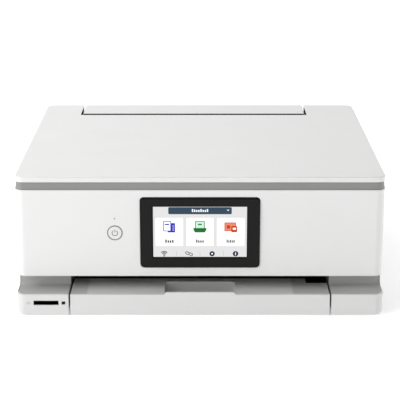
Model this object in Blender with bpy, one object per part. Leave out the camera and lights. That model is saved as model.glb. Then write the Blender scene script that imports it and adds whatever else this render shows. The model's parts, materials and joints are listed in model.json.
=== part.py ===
"""Compact all-in-one inkjet printer: casing, scanner unit, paper trays and print engine.

Every dimension is in millimetres and becomes metres when its mesh is made. The origin is the
centre of the footprint on the floor: +X is the user's right, -Y the front and +Z up.
Boxes are given as (low, high) pairs along X, Y and Z.
"""

import math

import bmesh
import bpy
from mathutils import Vector

MM = 0.001

# Overall size
WIDTH = 373.0
DEPTH = 345.0
HEIGHT = 142.0
SIDE = WIDTH / 2
BACK = DEPTH / 2
LOWER_FRONT = -DEPTH / 2
UPPER_FRONT = LOWER_FRONT + 15.0

# Casing
WALL = 2.5
GAP = 0.3
CORNER = 9.0
RETURN = 10.5
SKIRT = 0.6
LEDGE_TOP = 22.4
LEDGE_THICK = 2.5
LEDGE_FILLET = 5.0
SIDE_RIM = 1.0
FOOT_EDGE = [(2.1, 0.0), (1.0, 0.9), (0.3, 2.3), (0.0, 4.0)]
RECESS_TOP = 37.3
RECESS_BACK = -139.5
BODY_TOP = 128.4
EAR_TOP = 125.5
HATCH_SILL = 131.0
WING_INNER = 133.5
INNER_WALL = 2.0
BASE_Z = (2.3, 4.0)
BASE_X = 183.5
FOOT_X = 150.0
FOOT_Y = (-122.0, 145.0)
FOOT_RADIUS = 9.0
FOOT_TOP = 2.0
WING_FLOOR_X = 177.0
INLET_X = (-168.0, -146.0)
INLET_Z = (8.0, 26.0)
USB_X = (151.0, 165.0)
USB_Z = (54.0, 66.0)

# Scanner unit and document cover
BAND_BOTTOM = 128.8
BAND_TOP = 135.9
BAND_INSET = 0.8
BAND_REAR_CUT = (166.0, 134.7)
LID_BOTTOM = 136.5
NOTCH_X = (-142.2, 127.2)
NOTCH_FRONT = 118.0
WINDOW_X = (-155.0, 145.0)
WINDOW_Y = (-123.0, 93.0)
PAD_Z = (136.3, 139.6)
LID_CEILING = 139.9
GLASS_LAP = 5.0
GLASS_Z = (132.8, 135.3)
TUB_X = (-178.0, 178.0)
TUB_Y = (-141.0, 117.5)
TUB_Z = (108.0, 128.5)
SCANNER_AXIS = (168.5, 130.0)
LID_AXIS = (170.0, 138.4)
SCANNER_HINGE_X = 172.0
LID_HINGE_X = 155.0
PIN = 1.35

# Rear tray
HATCH_X = (-140.0, 125.0)
HATCH_Y = (122.5, BACK)
HATCH_Z = (136.5, HEIGHT)
HATCH_AXIS = (168.5, 138.0)
BED_FOOT = Vector((64.0, 46.0))
BED_HEAD = Vector((162.0, 126.0))

# Touch panel and power button
PANEL_X = 60.4
PANEL_Z = (46.7, 120.2)
PANEL_CORNER = 5.0
PANEL_Y = (-158.9, -150.0)
PANEL_CHAMFER = 1.5
PANEL_AXIS = (-155.8, 118.2)
SCREEN_X = 47.7
SCREEN_Z = (57.5, 111.3)
SCREEN_BEVEL = 1.3
BUTTON_CENTRE = (-86.1, 83.5)
BUTTON_RADIUS = 6.8
BUTTON_FLANGE = 8.6

# Cassette and output tray
CASSETTE_X = 131.8
LIP_X = 34.0
LIP_TOP = 24.9
LEDGE_BACK = -123.5
SCOOP_X = 36.0
SCOOP_Y = (-167.5, -133.5)
SCOOP_FLOOR = 14.4
SCOOP_CURVE = 11.0
SCOOP_STEPS = 6
OUTPUT_Z = (26.0, 28.3)

# Card slot and access lamp
CARD_X = (-169.1, -143.7)
CARD_Z = (11.2, 15.9)
LAMP_X = (-140.5, -136.9)
LAMP_Z = (11.8, 15.1)

# Print engine; the centres are (Y, Z) of shafts along X
ENGINE_SIDE = 170.0
ENGINE_Y = (-95.0, 62.0)
DECK_Z = (30.5, 32.5)
FEED_CENTRE = (14.0, 43.0)
OUTPUT_CENTRE = (-84.0, 40.0)
FEED_PULLEY = 12.0
OUTPUT_PULLEY = 10.0
BELT_CLEAR = 0.35
BELT_THICK = 1.0
RAIL_Y = (8.0, 20.0)
RAIL_Z = (76.0, 90.0)
PULLEY_X = 150.0
PULLEY_Y = 32.0
PULLEY_RADIUS = 6.0
CARRIAGE_X = (62.0, 162.0)
CARRIAGE_Y = (-72.0, 5.0)
CARRIAGE_Z = (50.0, 98.0)
TANK_COUNT = 5
TANK_WIDTH = 18.0
TANK_PITCH = 18.7

# Roundness of arcs and shafts
SHAFT_SIDES = 20
ARC_STEPS = 5


def widen(span, by):
    return span[0] - by, span[1] + by


def mirrored(span):
    return -span[1], -span[0]


# ---------------------------------------------------------------- solids


def place(axis, u, v, w):
    """A point from its two outline coordinates u, v and its height w along axis."""
    return {"X": (w, u, v), "Y": (u, w, v), "Z": (u, v, w)}[axis]


def stack(rings, axis="Z"):
    """A closed solid through rings of equally many points, each ring (outline, height)."""
    bm = bmesh.new()
    loops = [[bm.verts.new(place(axis, u, v, w)) for u, v in outline] for outline, w in rings]
    for below, above in zip(loops, loops[1:]):
        for i in range(len(below)):
            bm.faces.new((below[i - 1], below[i], above[i], above[i - 1]))
    bm.faces.new(loops[0])
    bm.faces.new(loops[-1])
    bmesh.ops.recalc_face_normals(bm, faces=bm.faces)
    return bm


def prism(outline, span, axis):
    return stack([(outline, span[0]), (outline, span[1])], axis)


def box(x, y, z):
    return prism([(x[0], y[0]), (x[1], y[0]), (x[1], y[1]), (x[0], y[1])], z, "Z")


def circle(centre, radius, sides=SHAFT_SIDES):
    turns = [2 * math.pi * i / sides for i in range(sides)]
    return [(centre[0] + radius * math.cos(t), centre[1] + radius * math.sin(t)) for t in turns]


def rod(centre, radius, span, axis):
    return prism(circle(centre, radius), span, axis)


def turned(centre, steps, axis):
    """A stepped shaft: steps is a list of (start, end, radius)."""
    rings = []
    for start, end, radius in steps:
        outline = circle(centre, radius)
        rings += [(outline, start), (outline, end)]
    return stack(rings, axis)


def arc(centre, radius, start, end, steps=ARC_STEPS):
    """Points on an arc, with start and end in degrees."""
    angles = [math.radians(start + (end - start) * i / steps) for i in range(steps + 1)]
    return [(centre[0] + radius * math.cos(a), centre[1] + radius * math.sin(a)) for a in angles]


def rounded(x, y, radius):
    """A rectangle with round corners, anticlockwise."""
    corners = [
        (x[1], y[1], -1, -1, 0),
        (x[0], y[1], 1, -1, 90),
        (x[0], y[0], 1, 1, 180),
        (x[1], y[0], -1, 1, 270),
    ]
    points = []
    for cx, cy, sx, sy, start in corners:
        points += arc((cx + sx * radius, cy + sy * radius), radius, start, start + 90)
    return points


def side_corner(centre, inset, start, end):
    """A casing corner whose side is drawn in by inset while its front or back stays in place."""
    squeeze = (CORNER - inset) / CORNER
    return [(centre[0] + (x - centre[0]) * squeeze, y) for x, y in arc(centre, CORNER, start, end)]


def footprint(inset):
    """The scanner's and the lid's plan, drawn in by inset."""
    x = widen((-SIDE, SIDE), -inset)
    y = widen((UPPER_FRONT, BACK), -inset)
    return rounded(x, y, CORNER - inset)


def belt_outline(one, radius_one, two, radius_two):
    """The tight loop round two circles."""
    along = Vector(two) - Vector(one)
    heading = math.degrees(math.atan2(along.y, along.x))
    lean = math.degrees(math.acos((radius_one - radius_two) / along.length))
    far = arc(two, radius_two, heading - lean, heading + lean, 10)
    near = arc(one, radius_one, heading + lean, heading + 360 - lean, 10)
    return far + near


# ---------------------------------------------------------------- objects


def clear_scene():
    for obj in list(bpy.data.objects):
        bpy.data.objects.remove(obj, do_unlink=True)


def plastic(name, colour, roughness=0.45, metallic=0.0, alpha=1.0):
    material = bpy.data.materials.new(name)
    material.use_nodes = True
    shader = material.node_tree.nodes["Principled BSDF"]
    shader.inputs["Base Color"].default_value = (*colour, 1.0)
    shader.inputs["Roughness"].default_value = roughness
    shader.inputs["Metallic"].default_value = metallic
    shader.inputs["Alpha"].default_value = alpha
    return material


def mesh_object(name, bm, pivot):
    """An object whose mesh is bm, in metres, measured from the pivot."""
    for vert in bm.verts:
        vert.co = (vert.co - Vector(pivot)) * MM
    mesh = bpy.data.meshes.new(name)
    bm.to_mesh(mesh)
    bm.free()
    obj = bpy.data.objects.new(name, mesh)
    bpy.context.scene.collection.objects.link(obj)
    return obj


def boolean(obj, bm, operation, number):
    helper = mesh_object(f"{obj.name}_{operation.lower()}_{number}", bm, (0, 0, 0))
    helper.hide_render = True
    helper.display_type = "WIRE"
    modifier = obj.modifiers.new(helper.name, "BOOLEAN")
    modifier.operation = operation
    modifier.solver = "EXACT"
    modifier.object = helper


def body(name, pivot=(0, 0, 0), parent=None):
    """An empty on a joint's axis, which carries the pieces that move together."""
    empty = bpy.data.objects.new(name + "_pivot", None)
    bpy.context.scene.collection.objects.link(empty)
    empty["pivot"] = pivot
    start = Vector(parent["pivot"]) if parent else Vector((0, 0, 0))
    empty.parent = parent
    empty.location = (Vector(pivot) - start) * MM
    return empty


def part(name, material, group, solids, cuts=()):
    """One piece: the union of solids less the cuts, carried by its group."""
    obj = mesh_object(name, solids[0], group["pivot"])
    obj.parent = group
    obj.data.materials.append(material)
    for number, bm in enumerate(solids[1:]):
        boolean(obj, bm, "UNION", number)
    for number, bm in enumerate(cuts):
        boolean(obj, bm, "DIFFERENCE", number)
    return obj


# ---------------------------------------------------------------- casing


def shell_plan(back_y, front_y, towards, inset=0.0):
    """A wall across the printer with round corners and short returns, its sides drawn in by inset."""
    outer = [(SIDE - inset, back_y)]
    outer += side_corner((SIDE - CORNER, front_y - towards * CORNER), inset, 0, towards * 90)
    outer += side_corner((CORNER - SIDE, front_y - towards * CORNER), inset, towards * 90, towards * 180)
    outer += [(inset - SIDE, back_y)]
    radius = CORNER - WALL
    inner = [(WALL - SIDE, back_y)]
    inner += arc((CORNER - SIDE, front_y - towards * CORNER), radius, towards * 180, towards * 90)
    inner += arc((SIDE - CORNER, front_y - towards * CORNER), radius, towards * 90, 0)
    inner += [(SIDE - WALL, back_y)]
    return outer + inner


def front_panel(material, group):
    plan = shell_plan(UPPER_FRONT + RETURN, UPPER_FRONT, -1)
    wall = prism(plan, (RECESS_TOP, BODY_TOP), "Z")
    flange = box((-180, 180), (UPPER_FRONT + 1.5, RECESS_BACK - GAP), (RECESS_TOP, RECESS_TOP + 2))
    reach = (UPPER_FRONT - 1, UPPER_FRONT + WALL + 1)
    window = prism(
        rounded(widen((-PANEL_X, PANEL_X), 0.35), (PANEL_Z[0] - 0.35, PANEL_Z[1] + 1.0), PANEL_CORNER - 1.2),
        reach,
        "Y",
    )
    button_hole = rod(BUTTON_CENTRE, BUTTON_RADIUS + 0.35, reach, "Y")
    pivots = rod(PANEL_AXIS, 1.1, (-PANEL_X - 1.8, PANEL_X + 1.8), "X")
    return part("front_panel", material, group, [wall, flange], [window, button_hole, pivots])


def recess_curve():
    """The curve from the ledge up to the recess's back wall, seen along X."""
    return arc((RECESS_BACK - LEDGE_FILLET, LEDGE_TOP + LEDGE_FILLET), LEDGE_FILLET, -90, 0)


def side_cover(name, side, material, group):
    front = UPPER_FRONT + RETURN + GAP
    low_front = LOWER_FRONT + RETURN + GAP
    step = RECESS_BACK + WALL + GAP
    under_ledge = LEDGE_TOP - LEDGE_THICK - GAP
    back = BACK - RETURN - GAP
    outline = [
        (front, BODY_TOP),
        (back, BODY_TOP),
        (back, SKIRT),
        (low_front, SKIRT),
        (low_front, LEDGE_TOP),
    ]
    outline += recess_curve()
    outline += [(RECESS_BACK, RECESS_TOP), (front, RECESS_TOP)]
    pocket = [
        (low_front - 1, under_ledge),
        (step, under_ledge),
        (step, RECESS_TOP + WALL),
        (RECESS_BACK - 1, RECESS_TOP + WALL),
        (RECESS_BACK - 1, RECESS_TOP),
        (low_front - 1, RECESS_TOP),
    ]
    low_edge = [(SIDE - inset, SKIRT + rise) for inset, rise in FOOT_EDGE]
    low_edge += [(SIDE + 1, low_edge[-1][1]), (SIDE + 1, SKIRT - 1), (low_edge[0][0], SKIRT - 1)]
    low_edge = [(side * x, z) for x, z in low_edge]
    span = (SIDE - WALL, SIDE)
    pocket_span = (SIDE - WALL - 1, SIDE - SIDE_RIM)
    if side < 0:
        span, pocket_span = mirrored(span), mirrored(pocket_span)
    cuts = [prism(pocket, pocket_span, "X"), prism(low_edge, (low_front - 1, back + 1), "Y")]
    return part(name, material, group, [prism(outline, span, "X")], cuts)


def rear_cover(material, group):
    rings = [(shell_plan(BACK - RETURN, BACK, 1, inset), SKIRT + rise) for inset, rise in FOOT_EDGE]
    wall = stack(rings + [(shell_plan(BACK - RETURN, BACK, 1), HATCH_SILL)])
    reach = (BACK - RETURN - 1, BACK + 1)
    left_ear = box((-SIDE - 1, HATCH_X[0] + 0.5), reach, (EAR_TOP, HEIGHT))
    right_ear = box((HATCH_X[1] - 0.5, SIDE + 1), reach, (EAR_TOP, HEIGHT))
    inlet_hole = box(widen(INLET_X, GAP), reach, widen(INLET_Z, GAP))
    usb_hole = box(widen(USB_X, GAP), reach, widen(USB_Z, GAP))
    return part("rear_cover", material, group, [wall], [left_ear, right_ear, inlet_hole, usb_hole])


def wing_plan(side, inset=0.0):
    """A lower front cover's plan: front plate, round corner and short return."""
    centre = (side * (SIDE - CORNER), LOWER_FRONT + CORNER)
    turn = (0, -90) if side > 0 else (180, 270)
    outer = [(side * (SIDE - inset), LOWER_FRONT + RETURN)] + side_corner(centre, inset, *turn)
    inner = arc(centre, CORNER - WALL, turn[1], turn[0]) + [(side * (SIDE - WALL), LOWER_FRONT + RETURN)]
    ends = [(side * WING_INNER, LOWER_FRONT), (side * WING_INNER, LOWER_FRONT + WALL)]
    return outer + ends + inner


def wing_cover(name, side, material, group, cuts=()):
    rings = [(wing_plan(side, inset), SKIRT + rise) for inset, rise in FOOT_EDGE]
    return part(name, material, group, [stack(rings + [(wing_plan(side), LEDGE_TOP)])], cuts)


def left_wing_cover(material, group):
    reach = (LOWER_FRONT - 1, LOWER_FRONT + WALL + 1)
    holes = [box(CARD_X, reach, CARD_Z), box(LAMP_X, reach, LAMP_Z)]
    return wing_cover("left_wing_cover", -1, material, group, holes)


def ledge(name, side, material, group):
    """The shelf and back wall of the recess above one wing, with the cassette bay's end wall."""
    front = LOWER_FRONT + WALL + GAP
    wall_back = RECESS_BACK + WALL
    shelf_bottom = LEDGE_TOP - LEDGE_THICK
    top = RECESS_TOP - GAP
    profile = [(front, shelf_bottom), (wall_back, shelf_bottom), (wall_back, top), (RECESS_BACK, top)]
    profile += reversed(recess_curve())
    profile += [(front, LEDGE_TOP)]
    spans = [(WING_INNER, SIDE - SIDE_RIM - GAP), (WING_INNER, WING_INNER + INNER_WALL)]
    if side < 0:
        spans = [mirrored(span) for span in spans]
    return_end = LOWER_FRONT + RETURN + GAP
    corner = [(SIDE + 1, return_end), (SIDE - WALL - GAP, return_end)]
    corner += arc((SIDE - CORNER, LOWER_FRONT + CORNER), CORNER - WALL - GAP, 0, -90)
    corner += [(SIDE - CORNER, LOWER_FRONT), (SIDE + 1, LOWER_FRONT)]
    corner = [(side * x, y) for x, y in corner]
    shelf = prism(profile, spans[0], "X")
    end_y = ENGINE_Y[0] - 1
    end_bottom = BASE_Z[1] + GAP
    end_profile = [(front, end_bottom), (end_y, end_bottom), (end_y, top)]
    end_profile += [(RECESS_BACK, top), (RECESS_BACK, LEDGE_TOP), (front, LEDGE_TOP)]
    end_wall = prism(end_profile, spans[1], "X")
    corner_cut = prism(corner, (shelf_bottom - 1, LEDGE_TOP + 1), "Z")
    return part(name, material, group, [shelf, end_wall], [corner_cut])


def base_tray(material, group):
    floor = prism(rounded((-BASE_X, BASE_X), (-139.0, 169.5), 6.0), BASE_Z, "Z")
    wall_y = (ENGINE_Y[0] + 1, 140.0)
    walls = [box((WING_INNER, WING_INNER + INNER_WALL), wall_y, (3.0, 30.0))]
    walls.append(box((-WING_INNER - INNER_WALL, -WING_INNER), wall_y, (3.0, 30.0)))
    wing_floor = (WING_INNER + INNER_WALL + GAP, WING_FLOOR_X)
    for span in (wing_floor, mirrored(wing_floor)):
        walls.append(box(span, (LOWER_FRONT + WALL + GAP, -130.0), BASE_Z))
    return part("base_tray", material, group, [floor] + walls)


def feet(material, group):
    for end, y in (("front", FOOT_Y[0]), ("rear", FOOT_Y[1])):
        for side, x in (("left", -FOOT_X), ("right", FOOT_X)):
            part(f"foot_{end}_{side}", material, group, [rod((x, y), FOOT_RADIUS, (0.0, FOOT_TOP), "Z")])


# ---------------------------------------------------------------- sockets and boards


def power_inlet(material, group):
    block = box(INLET_X, (150.0, BACK - GAP), INLET_Z)
    recess = prism(rounded((-166.5, -147.5), (12.5, 21.5), 4.0), (160.0, BACK + 1), "Y")
    return part("power_inlet", material, group, [block], [recess])


def usb_port(material, group):
    block = box(USB_X, (155.0, BACK - GAP), USB_Z)
    recess = box((153.8, 162.2), (162.0, BACK + 1), (56.1, 63.9))
    return part("usb_port", material, group, [block], [recess])


def card_slot(material, group):
    front = LOWER_FRONT + WALL + GAP
    block = box(widen(CARD_X, 2.0), (front, -141.0), (8.0, 19.0))
    collar = box(widen(CARD_X, -GAP), (LOWER_FRONT + GAP, front + 1), widen(CARD_Z, -GAP))
    slot = box(widen(CARD_X, -1.0), (LOWER_FRONT, -148.0), widen(CARD_Z, -1.0))
    return part("card_slot", material, group, [block, collar], [slot])


def access_lamp(material, group):
    lens = box(widen(LAMP_X, -GAP), (LOWER_FRONT + 0.1, -167.0), widen(LAMP_Z, -GAP))
    return part("access_lamp", material, group, [lens])


def power_supply(material, group):
    case = box((-181.0, -137.0), (-90.0, 100.0), (5.0, 27.0))
    return part("power_supply", material, group, [case])


def logic_board(material, group):
    board = box((138.0, 181.0), (-80.0, 120.0), (8.0, 9.6))
    processor = box((150.0, 170.0), (-10.0, 10.0), (9.0, 12.0))
    connectors = box((142.0, 176.0), (95.0, 108.0), (9.0, 18.0))
    return part("logic_board", material, group, [board, processor, connectors])


# ---------------------------------------------------------------- touch panel and button


def panel_bay(material, group):
    outer = box((-66.0, 66.0), (-154.7, -145.0), (42.0, 126.0))
    inner = box((-63.5, 63.5), (-156.0, -147.5), (44.5, 123.5))
    return part("panel_bay", material, group, [outer], [inner])


def touch_panel_frame(material, group):
    slab = prism(rounded((-PANEL_X, PANEL_X), PANEL_Z, PANEL_CORNER), PANEL_Y, "Y")
    stubs = rod(PANEL_AXIS, 0.8, (-PANEL_X - 1.3, PANEL_X + 1.3), "X")
    edge = PANEL_Y[0] - 1, PANEL_Z[1] + 1
    chamfer = [
        (edge[0], PANEL_Z[1] - PANEL_CHAMFER - 1),
        (PANEL_Y[0] + PANEL_CHAMFER + 1, edge[1]),
        edge,
    ]
    bevel = prism(chamfer, (-PANEL_X - 0.5, PANEL_X + 0.5), "X")
    sight = rounded((-SCREEN_X, SCREEN_X), SCREEN_Z, 0.6)
    mouth = rounded(widen((-SCREEN_X, SCREEN_X), SCREEN_BEVEL), widen(SCREEN_Z, SCREEN_BEVEL), 1.9)
    front = PANEL_Y[0]
    recess = stack([(mouth, front - 1), (mouth, front), (sight, front + SCREEN_BEVEL), (sight, -155.2)], "Y")
    return part("touch_panel_frame", material, group, [slab, stubs], [bevel, recess])


def touch_screen(material, group):
    slab = box((GAP - SCREEN_X, SCREEN_X - GAP), (-157.3, -155.5), widen(SCREEN_Z, -GAP))
    return part("touch_screen", material, group, [slab])


def power_button(material, group):
    behind = UPPER_FRONT + WALL + GAP
    steps = [(UPPER_FRONT - 0.4, behind, BUTTON_RADIUS), (behind, -153.0, BUTTON_FLANGE)]
    return part("power_button", material, group, [turned(BUTTON_CENTRE, steps, "Y")])


# ---------------------------------------------------------------- scanner unit


def hinge_span(centre, half, side):
    span = (centre - half, centre + half)
    return span if side > 0 else mirrored(span)


def scanner_hinge(name, side, material, group):
    """A post on the body with the pin that the scanner unit turns on."""
    post = box(hinge_span(SCANNER_HINGE_X, 2.0, side), (163.0, 169.6), (100.0, 131.6))
    pin = rod(SCANNER_AXIS, PIN, hinge_span(SCANNER_HINGE_X, 6.5, side), "X")
    return part(name, material, group, [post, pin])


def scanner_frame(material, group):
    """The grey rim that shows under the lid, the glass surround and the hinge lugs."""
    rings = []
    for step in range(ARC_STEPS + 1):
        turn = math.radians(90 * step / ARC_STEPS)
        rise = (BAND_TOP - BAND_BOTTOM) * (1 - math.cos(turn))
        rings.append((footprint(BAND_INSET * math.sin(turn)), BAND_BOTTOM + rise))
    solids = [stack(rings)]
    cuts = [box(NOTCH_X, (NOTCH_FRONT, BACK + 1), (BAND_BOTTOM - 3, BAND_TOP + 1))]
    cuts.append(box(WINDOW_X, WINDOW_Y, (BAND_BOTTOM - 1, BAND_TOP + 1)))
    lap = GLASS_LAP + GAP
    cuts.append(box(widen(WINDOW_X, lap), widen(WINDOW_Y, lap), (GLASS_Z[0] - GAP, BAND_TOP + 1)))
    cuts.append(box((-SIDE - 1, SIDE + 1), (BAND_REAR_CUT[0], BACK + 1), (BAND_REAR_CUT[1], BAND_TOP + 1)))
    for side in (-1, 1):
        lug_span = hinge_span(SCANNER_HINGE_X, 7.0, side)
        solids.append(box(lug_span, (165.5, 170.8), (127.0, 131.0)))
        cuts.append(box(hinge_span(SCANNER_HINGE_X, 4.0, side), (160.0, BACK + 1), (120.0, BAND_TOP + 1)))
        cuts.append(rod(SCANNER_AXIS, PIN + GAP, lug_span, "X"))
    frame = part("scanner_frame", material, group, solids, cuts)
    for side in (-1, 1):
        post = box(hinge_span(LID_HINGE_X, 3.0, side), (166.2, 171.2), (130.0, 139.7))
        boolean(frame, post, "UNION", f"post{side}")
        boolean(frame, rod(LID_AXIS, PIN, hinge_span(LID_HINGE_X, 8.0, side), "X"), "UNION", f"pin{side}")
    return frame


def scanner_tub(material, group):
    outer = box(TUB_X, TUB_Y, TUB_Z)
    inner = box(widen(TUB_X, -WALL), widen(TUB_Y, -WALL), (TUB_Z[0] + WALL, TUB_Z[1] + 1))
    rail = box(widen(TUB_X, -1.0), (-24.0, -16.0), (TUB_Z[0] + 1, TUB_Z[0] + 6))
    tub = part("scanner_tub", material, group, [outer], [inner])
    boolean(tub, rail, "UNION", "rail")
    return tub


def platen_glass(material, group):
    pane = box(widen(WINDOW_X, GLASS_LAP), widen(WINDOW_Y, GLASS_LAP), GLASS_Z)
    return part("platen_glass", material, group, [pane])


def image_sensor(material, group):
    bar = box((-162.0, -148.0), (-124.0, 94.0), (116.0, 128.0))
    shoe = box((-161.0, -149.0), (-27.0, -13.0), (114.4, 117.0))
    return part("image_sensor", material, group, [bar, shoe])


def document_cover(material, group):
    edge = 0.8
    rings = [(footprint(0.0), LID_BOTTOM), (footprint(0.0), HEIGHT - edge), (footprint(edge), HEIGHT)]
    cuts = [box(NOTCH_X, (NOTCH_FRONT, BACK + 1), (LID_BOTTOM - 1, HEIGHT + 1))]
    cuts.append(box((3 - SIDE, SIDE - 3), (UPPER_FRONT + 3, NOTCH_FRONT - 3), (LID_BOTTOM - 1, LID_CEILING)))
    for side in (-1, 1):
        cuts.append(box(hinge_span(LID_HINGE_X, 5.0, side), (165.0, BACK + 1), (LID_BOTTOM - 1, 140.3)))
        cuts.append(rod(LID_AXIS, PIN + GAP, hinge_span(LID_HINGE_X, 8.4, side), "X"))
    return part("document_cover", material, group, [stack(rings)], cuts)


def document_pad(material, group):
    pad = box(widen(WINDOW_X, 3.0), widen(WINDOW_Y, 3.0), PAD_Z)
    return part("document_pad", material, group, [pad])


# ---------------------------------------------------------------- rear tray


def on_bed(along, above):
    """The (Y, Z) point at a distance along the bed's slope and above its underside."""
    run = (BED_HEAD - BED_FOOT).normalized()
    return tuple(BED_FOOT + along * run + above * Vector((-run.y, run.x)))


def from_edge(edge, near, far):
    """The span between two distances inwards from one side edge of the hatch."""
    span = (edge + near, edge + far)
    return span if edge < 0 else (edge - far, edge - near)


def rear_tray_bed(material, group):
    length = (BED_HEAD - BED_FOOT).length
    slope = [on_bed(0, 0), on_bed(length, 0), on_bed(length, WALL), on_bed(0, WALL)]
    solids = [prism(slope, widen(HATCH_X, -5.0), "X")]
    cheek = [(128, 98), (158, 122), (163, 126), (166.6, 131.5), (168.0, 135.9), (169.3, 136.9)]
    cheek += [(169.7, 138.0), (169.3, 139.1), (167.4, 139.2), (160, 134), (128, 134)]
    for edge in HATCH_X:
        solids.append(prism(cheek, from_edge(edge, 2.4, 5.6), "X"))
        solids.append(rod(HATCH_AXIS, 1.25, from_edge(edge, 2.4, 10.4), "X"))
    return part("rear_tray_bed", material, group, solids)


def rear_tray_cover(material, group):
    edge = 0.8
    x, y = HATCH_X, HATCH_Y
    corner = 1.5
    rings = [(rounded(x, y, corner), HATCH_Z[0]), (rounded(x, y, corner), HATCH_Z[1] - edge)]
    rings.append((rounded(widen(x, -edge), widen(y, -edge), corner - edge), HATCH_Z[1]))
    cuts = [box(widen(x, -2.0), widen(y, -2.0), (HATCH_Z[0] - 1, 140.0))]
    cuts.append(box((-71.0, 71.0), (HATCH_Y[0] - 1, HATCH_Y[0] + 3), (HATCH_Z[0] - 1, 139.8)))
    cover = part("rear_tray_cover", material, group, [stack(rings)], cuts)
    for side_edge in HATCH_X:
        cheek = from_edge(side_edge, 1.8, 6.2)
        lug = from_edge(side_edge, 6.8, 9.8)
        boolean(cover, box(lug, (165.4, 171.0), (135.4, 140.5)), "UNION", f"lug{lug[0]}")
        boolean(cover, rod(HATCH_AXIS, 1.6, widen(lug, 0.5), "X"), "DIFFERENCE", f"bore{lug[0]}")
        boolean(cover, box(cheek, (168.0, BACK + 1), (HATCH_Z[0] - 1, 140.0)), "DIFFERENCE", f"slot{lug[0]}")
    return cover


def paper_support(material, group):
    return part("paper_support", material, group, [box((-70.0, 70.0), (125.5, 164.5), (137.2, 139.4))])


def rear_paper_guide(name, side, material, group):
    fence = [on_bed(95, 3), on_bed(122, 3), on_bed(122, 9), on_bed(95, 16)]
    foot = [on_bed(95, 3), on_bed(122, 3), on_bed(122, 4.6), on_bed(95, 4.6)]
    spans = [(105.0, 107.0), (88.0, 106.0)]
    if side < 0:
        spans = [mirrored(span) for span in spans]
    return part(name, material, group, [prism(fence, spans[0], "X"), prism(foot, spans[1], "X")])


# ---------------------------------------------------------------- cassette and output tray


def cassette_body(material, group):
    outer = box((-130.8, 130.8), (LOWER_FRONT + WALL + GAP, 138.0), (4.6, 19.3))
    inner = box((-128.8, 128.8), (-167.4, 136.0), (6.4, 30.0))
    scoop_room = box((-SCOOP_X - 2.4, SCOOP_X + 2.4), (LOWER_FRONT, -160.0), (SCOOP_FLOOR - 2.4, 30.0))
    return part("cassette_body", material, group, [outer], [inner, scoop_room])


def cassette_cover(material, group):
    slope = LIP_TOP - LEDGE_TOP
    right = [(CASSETTE_X, SKIRT), (CASSETTE_X, LEDGE_TOP), (LIP_X + slope, LEDGE_TOP), (LIP_X, LIP_TOP)]
    left = [(-x, z) for x, z in reversed(right)]
    plate = prism(right + left, (LOWER_FRONT, LOWER_FRONT + WALL), "Y")
    return part("cassette_cover", material, group, [plate])


def cassette_ledge(material, group):
    """The cassette's top plate with the finger scoop, whose back wall is a hollow curve."""
    front = LOWER_FRONT + WALL + GAP
    plate = box((GAP - CASSETTE_X, CASSETTE_X - GAP), (front, LEDGE_BACK), (19.6, LEDGE_TOP))
    tub = box((-SCOOP_X - 2, SCOOP_X + 2), (front, SCOOP_Y[1] + 2), (SCOOP_FLOOR - 2, LEDGE_TOP))
    steepest = math.acos(1 - (LEDGE_TOP - SCOOP_FLOOR) / SCOOP_CURVE)
    rings = []
    for step in range(SCOOP_STEPS + 1):
        turn = steepest * step / SCOOP_STEPS
        inset = SCOOP_CURVE * (math.sin(steepest) - math.sin(turn))
        outline = rounded(widen((-SCOOP_X, SCOOP_X), -0.3 * inset), (SCOOP_Y[0], SCOOP_Y[1] - inset), 4.0)
        rings.append((outline, SCOOP_FLOOR + SCOOP_CURVE * (1 - math.cos(turn))))
    rings.append((rings[-1][0], LEDGE_TOP + 1))
    scoop = stack(rings)
    corner = box((110.0, 133.0), (-137.5, LEDGE_BACK + 1), (15.0, LEDGE_TOP + 1))
    return part("cassette_ledge", material, group, [plate, tub], [scoop, corner])


def cassette_guide(name, side, material, group):
    spans = [(106.0, 108.0), (90.0, 107.0)]
    if side < 0:
        spans = [mirrored(span) for span in spans]
    fence = box(spans[0], (-60.0, 50.0), (6.9, 17.5))
    foot = box(spans[1], (-50.0, 40.0), (6.9, 8.1))
    return part(name, material, group, [fence, foot])


def output_tray(material, group):
    plate = box((-104.0, 104.0), (-118.0, 55.0), OUTPUT_Z)
    return part("output_tray", material, group, [plate])


# ---------------------------------------------------------------- print engine


def engine_frame(material, group):
    """Bent sheet-metal tray: a deck and two side plates with the shafts' bearing holes."""
    deck = box((-ENGINE_SIDE, ENGINE_SIDE), ENGINE_Y, DECK_Z)
    left = box((-ENGINE_SIDE, 2 - ENGINE_SIDE), ENGINE_Y, (DECK_Z[0], 100.0))
    right = box((ENGINE_SIDE - 2, ENGINE_SIDE), ENGINE_Y, (DECK_Z[0], 100.0))
    reach = (-ENGINE_SIDE - 1, 3 - ENGINE_SIDE)
    holes = [rod(FEED_CENTRE, 4.4, reach, "X"), rod(OUTPUT_CENTRE, 3.4, reach, "X")]
    return part("engine_frame", material, group, [deck, left, right], holes)


def carriage_rail(material, group):
    y, z = RAIL_Y, RAIL_Z
    web = 3.0
    channel = [
        (y[0], z[0]),
        (y[1], z[0]),
        (y[1], z[1]),
        (y[1] - web, z[1]),
        (y[1] - web, z[0] + web),
        (y[0] + web, z[0] + web),
        (y[0] + web, z[1]),
        (y[0], z[1]),
    ]
    bar = prism(channel, (2.4 - ENGINE_SIDE, ENGINE_SIDE - 2.4), "X")
    return part("carriage_rail", material, group, [bar])


def belt(name, ends, radii, span, axis, material, group):
    inner = [radius + BELT_CLEAR for radius in radii]
    outer = [radius + BELT_THICK for radius in inner]
    loop = prism(belt_outline(ends[0], outer[0], ends[1], outer[1]), span, axis)
    hollow = prism(belt_outline(ends[0], inner[0], ends[1], inner[1]), widen(span, 1), axis)
    return part(name, material, group, [loop], [hollow])


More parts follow.
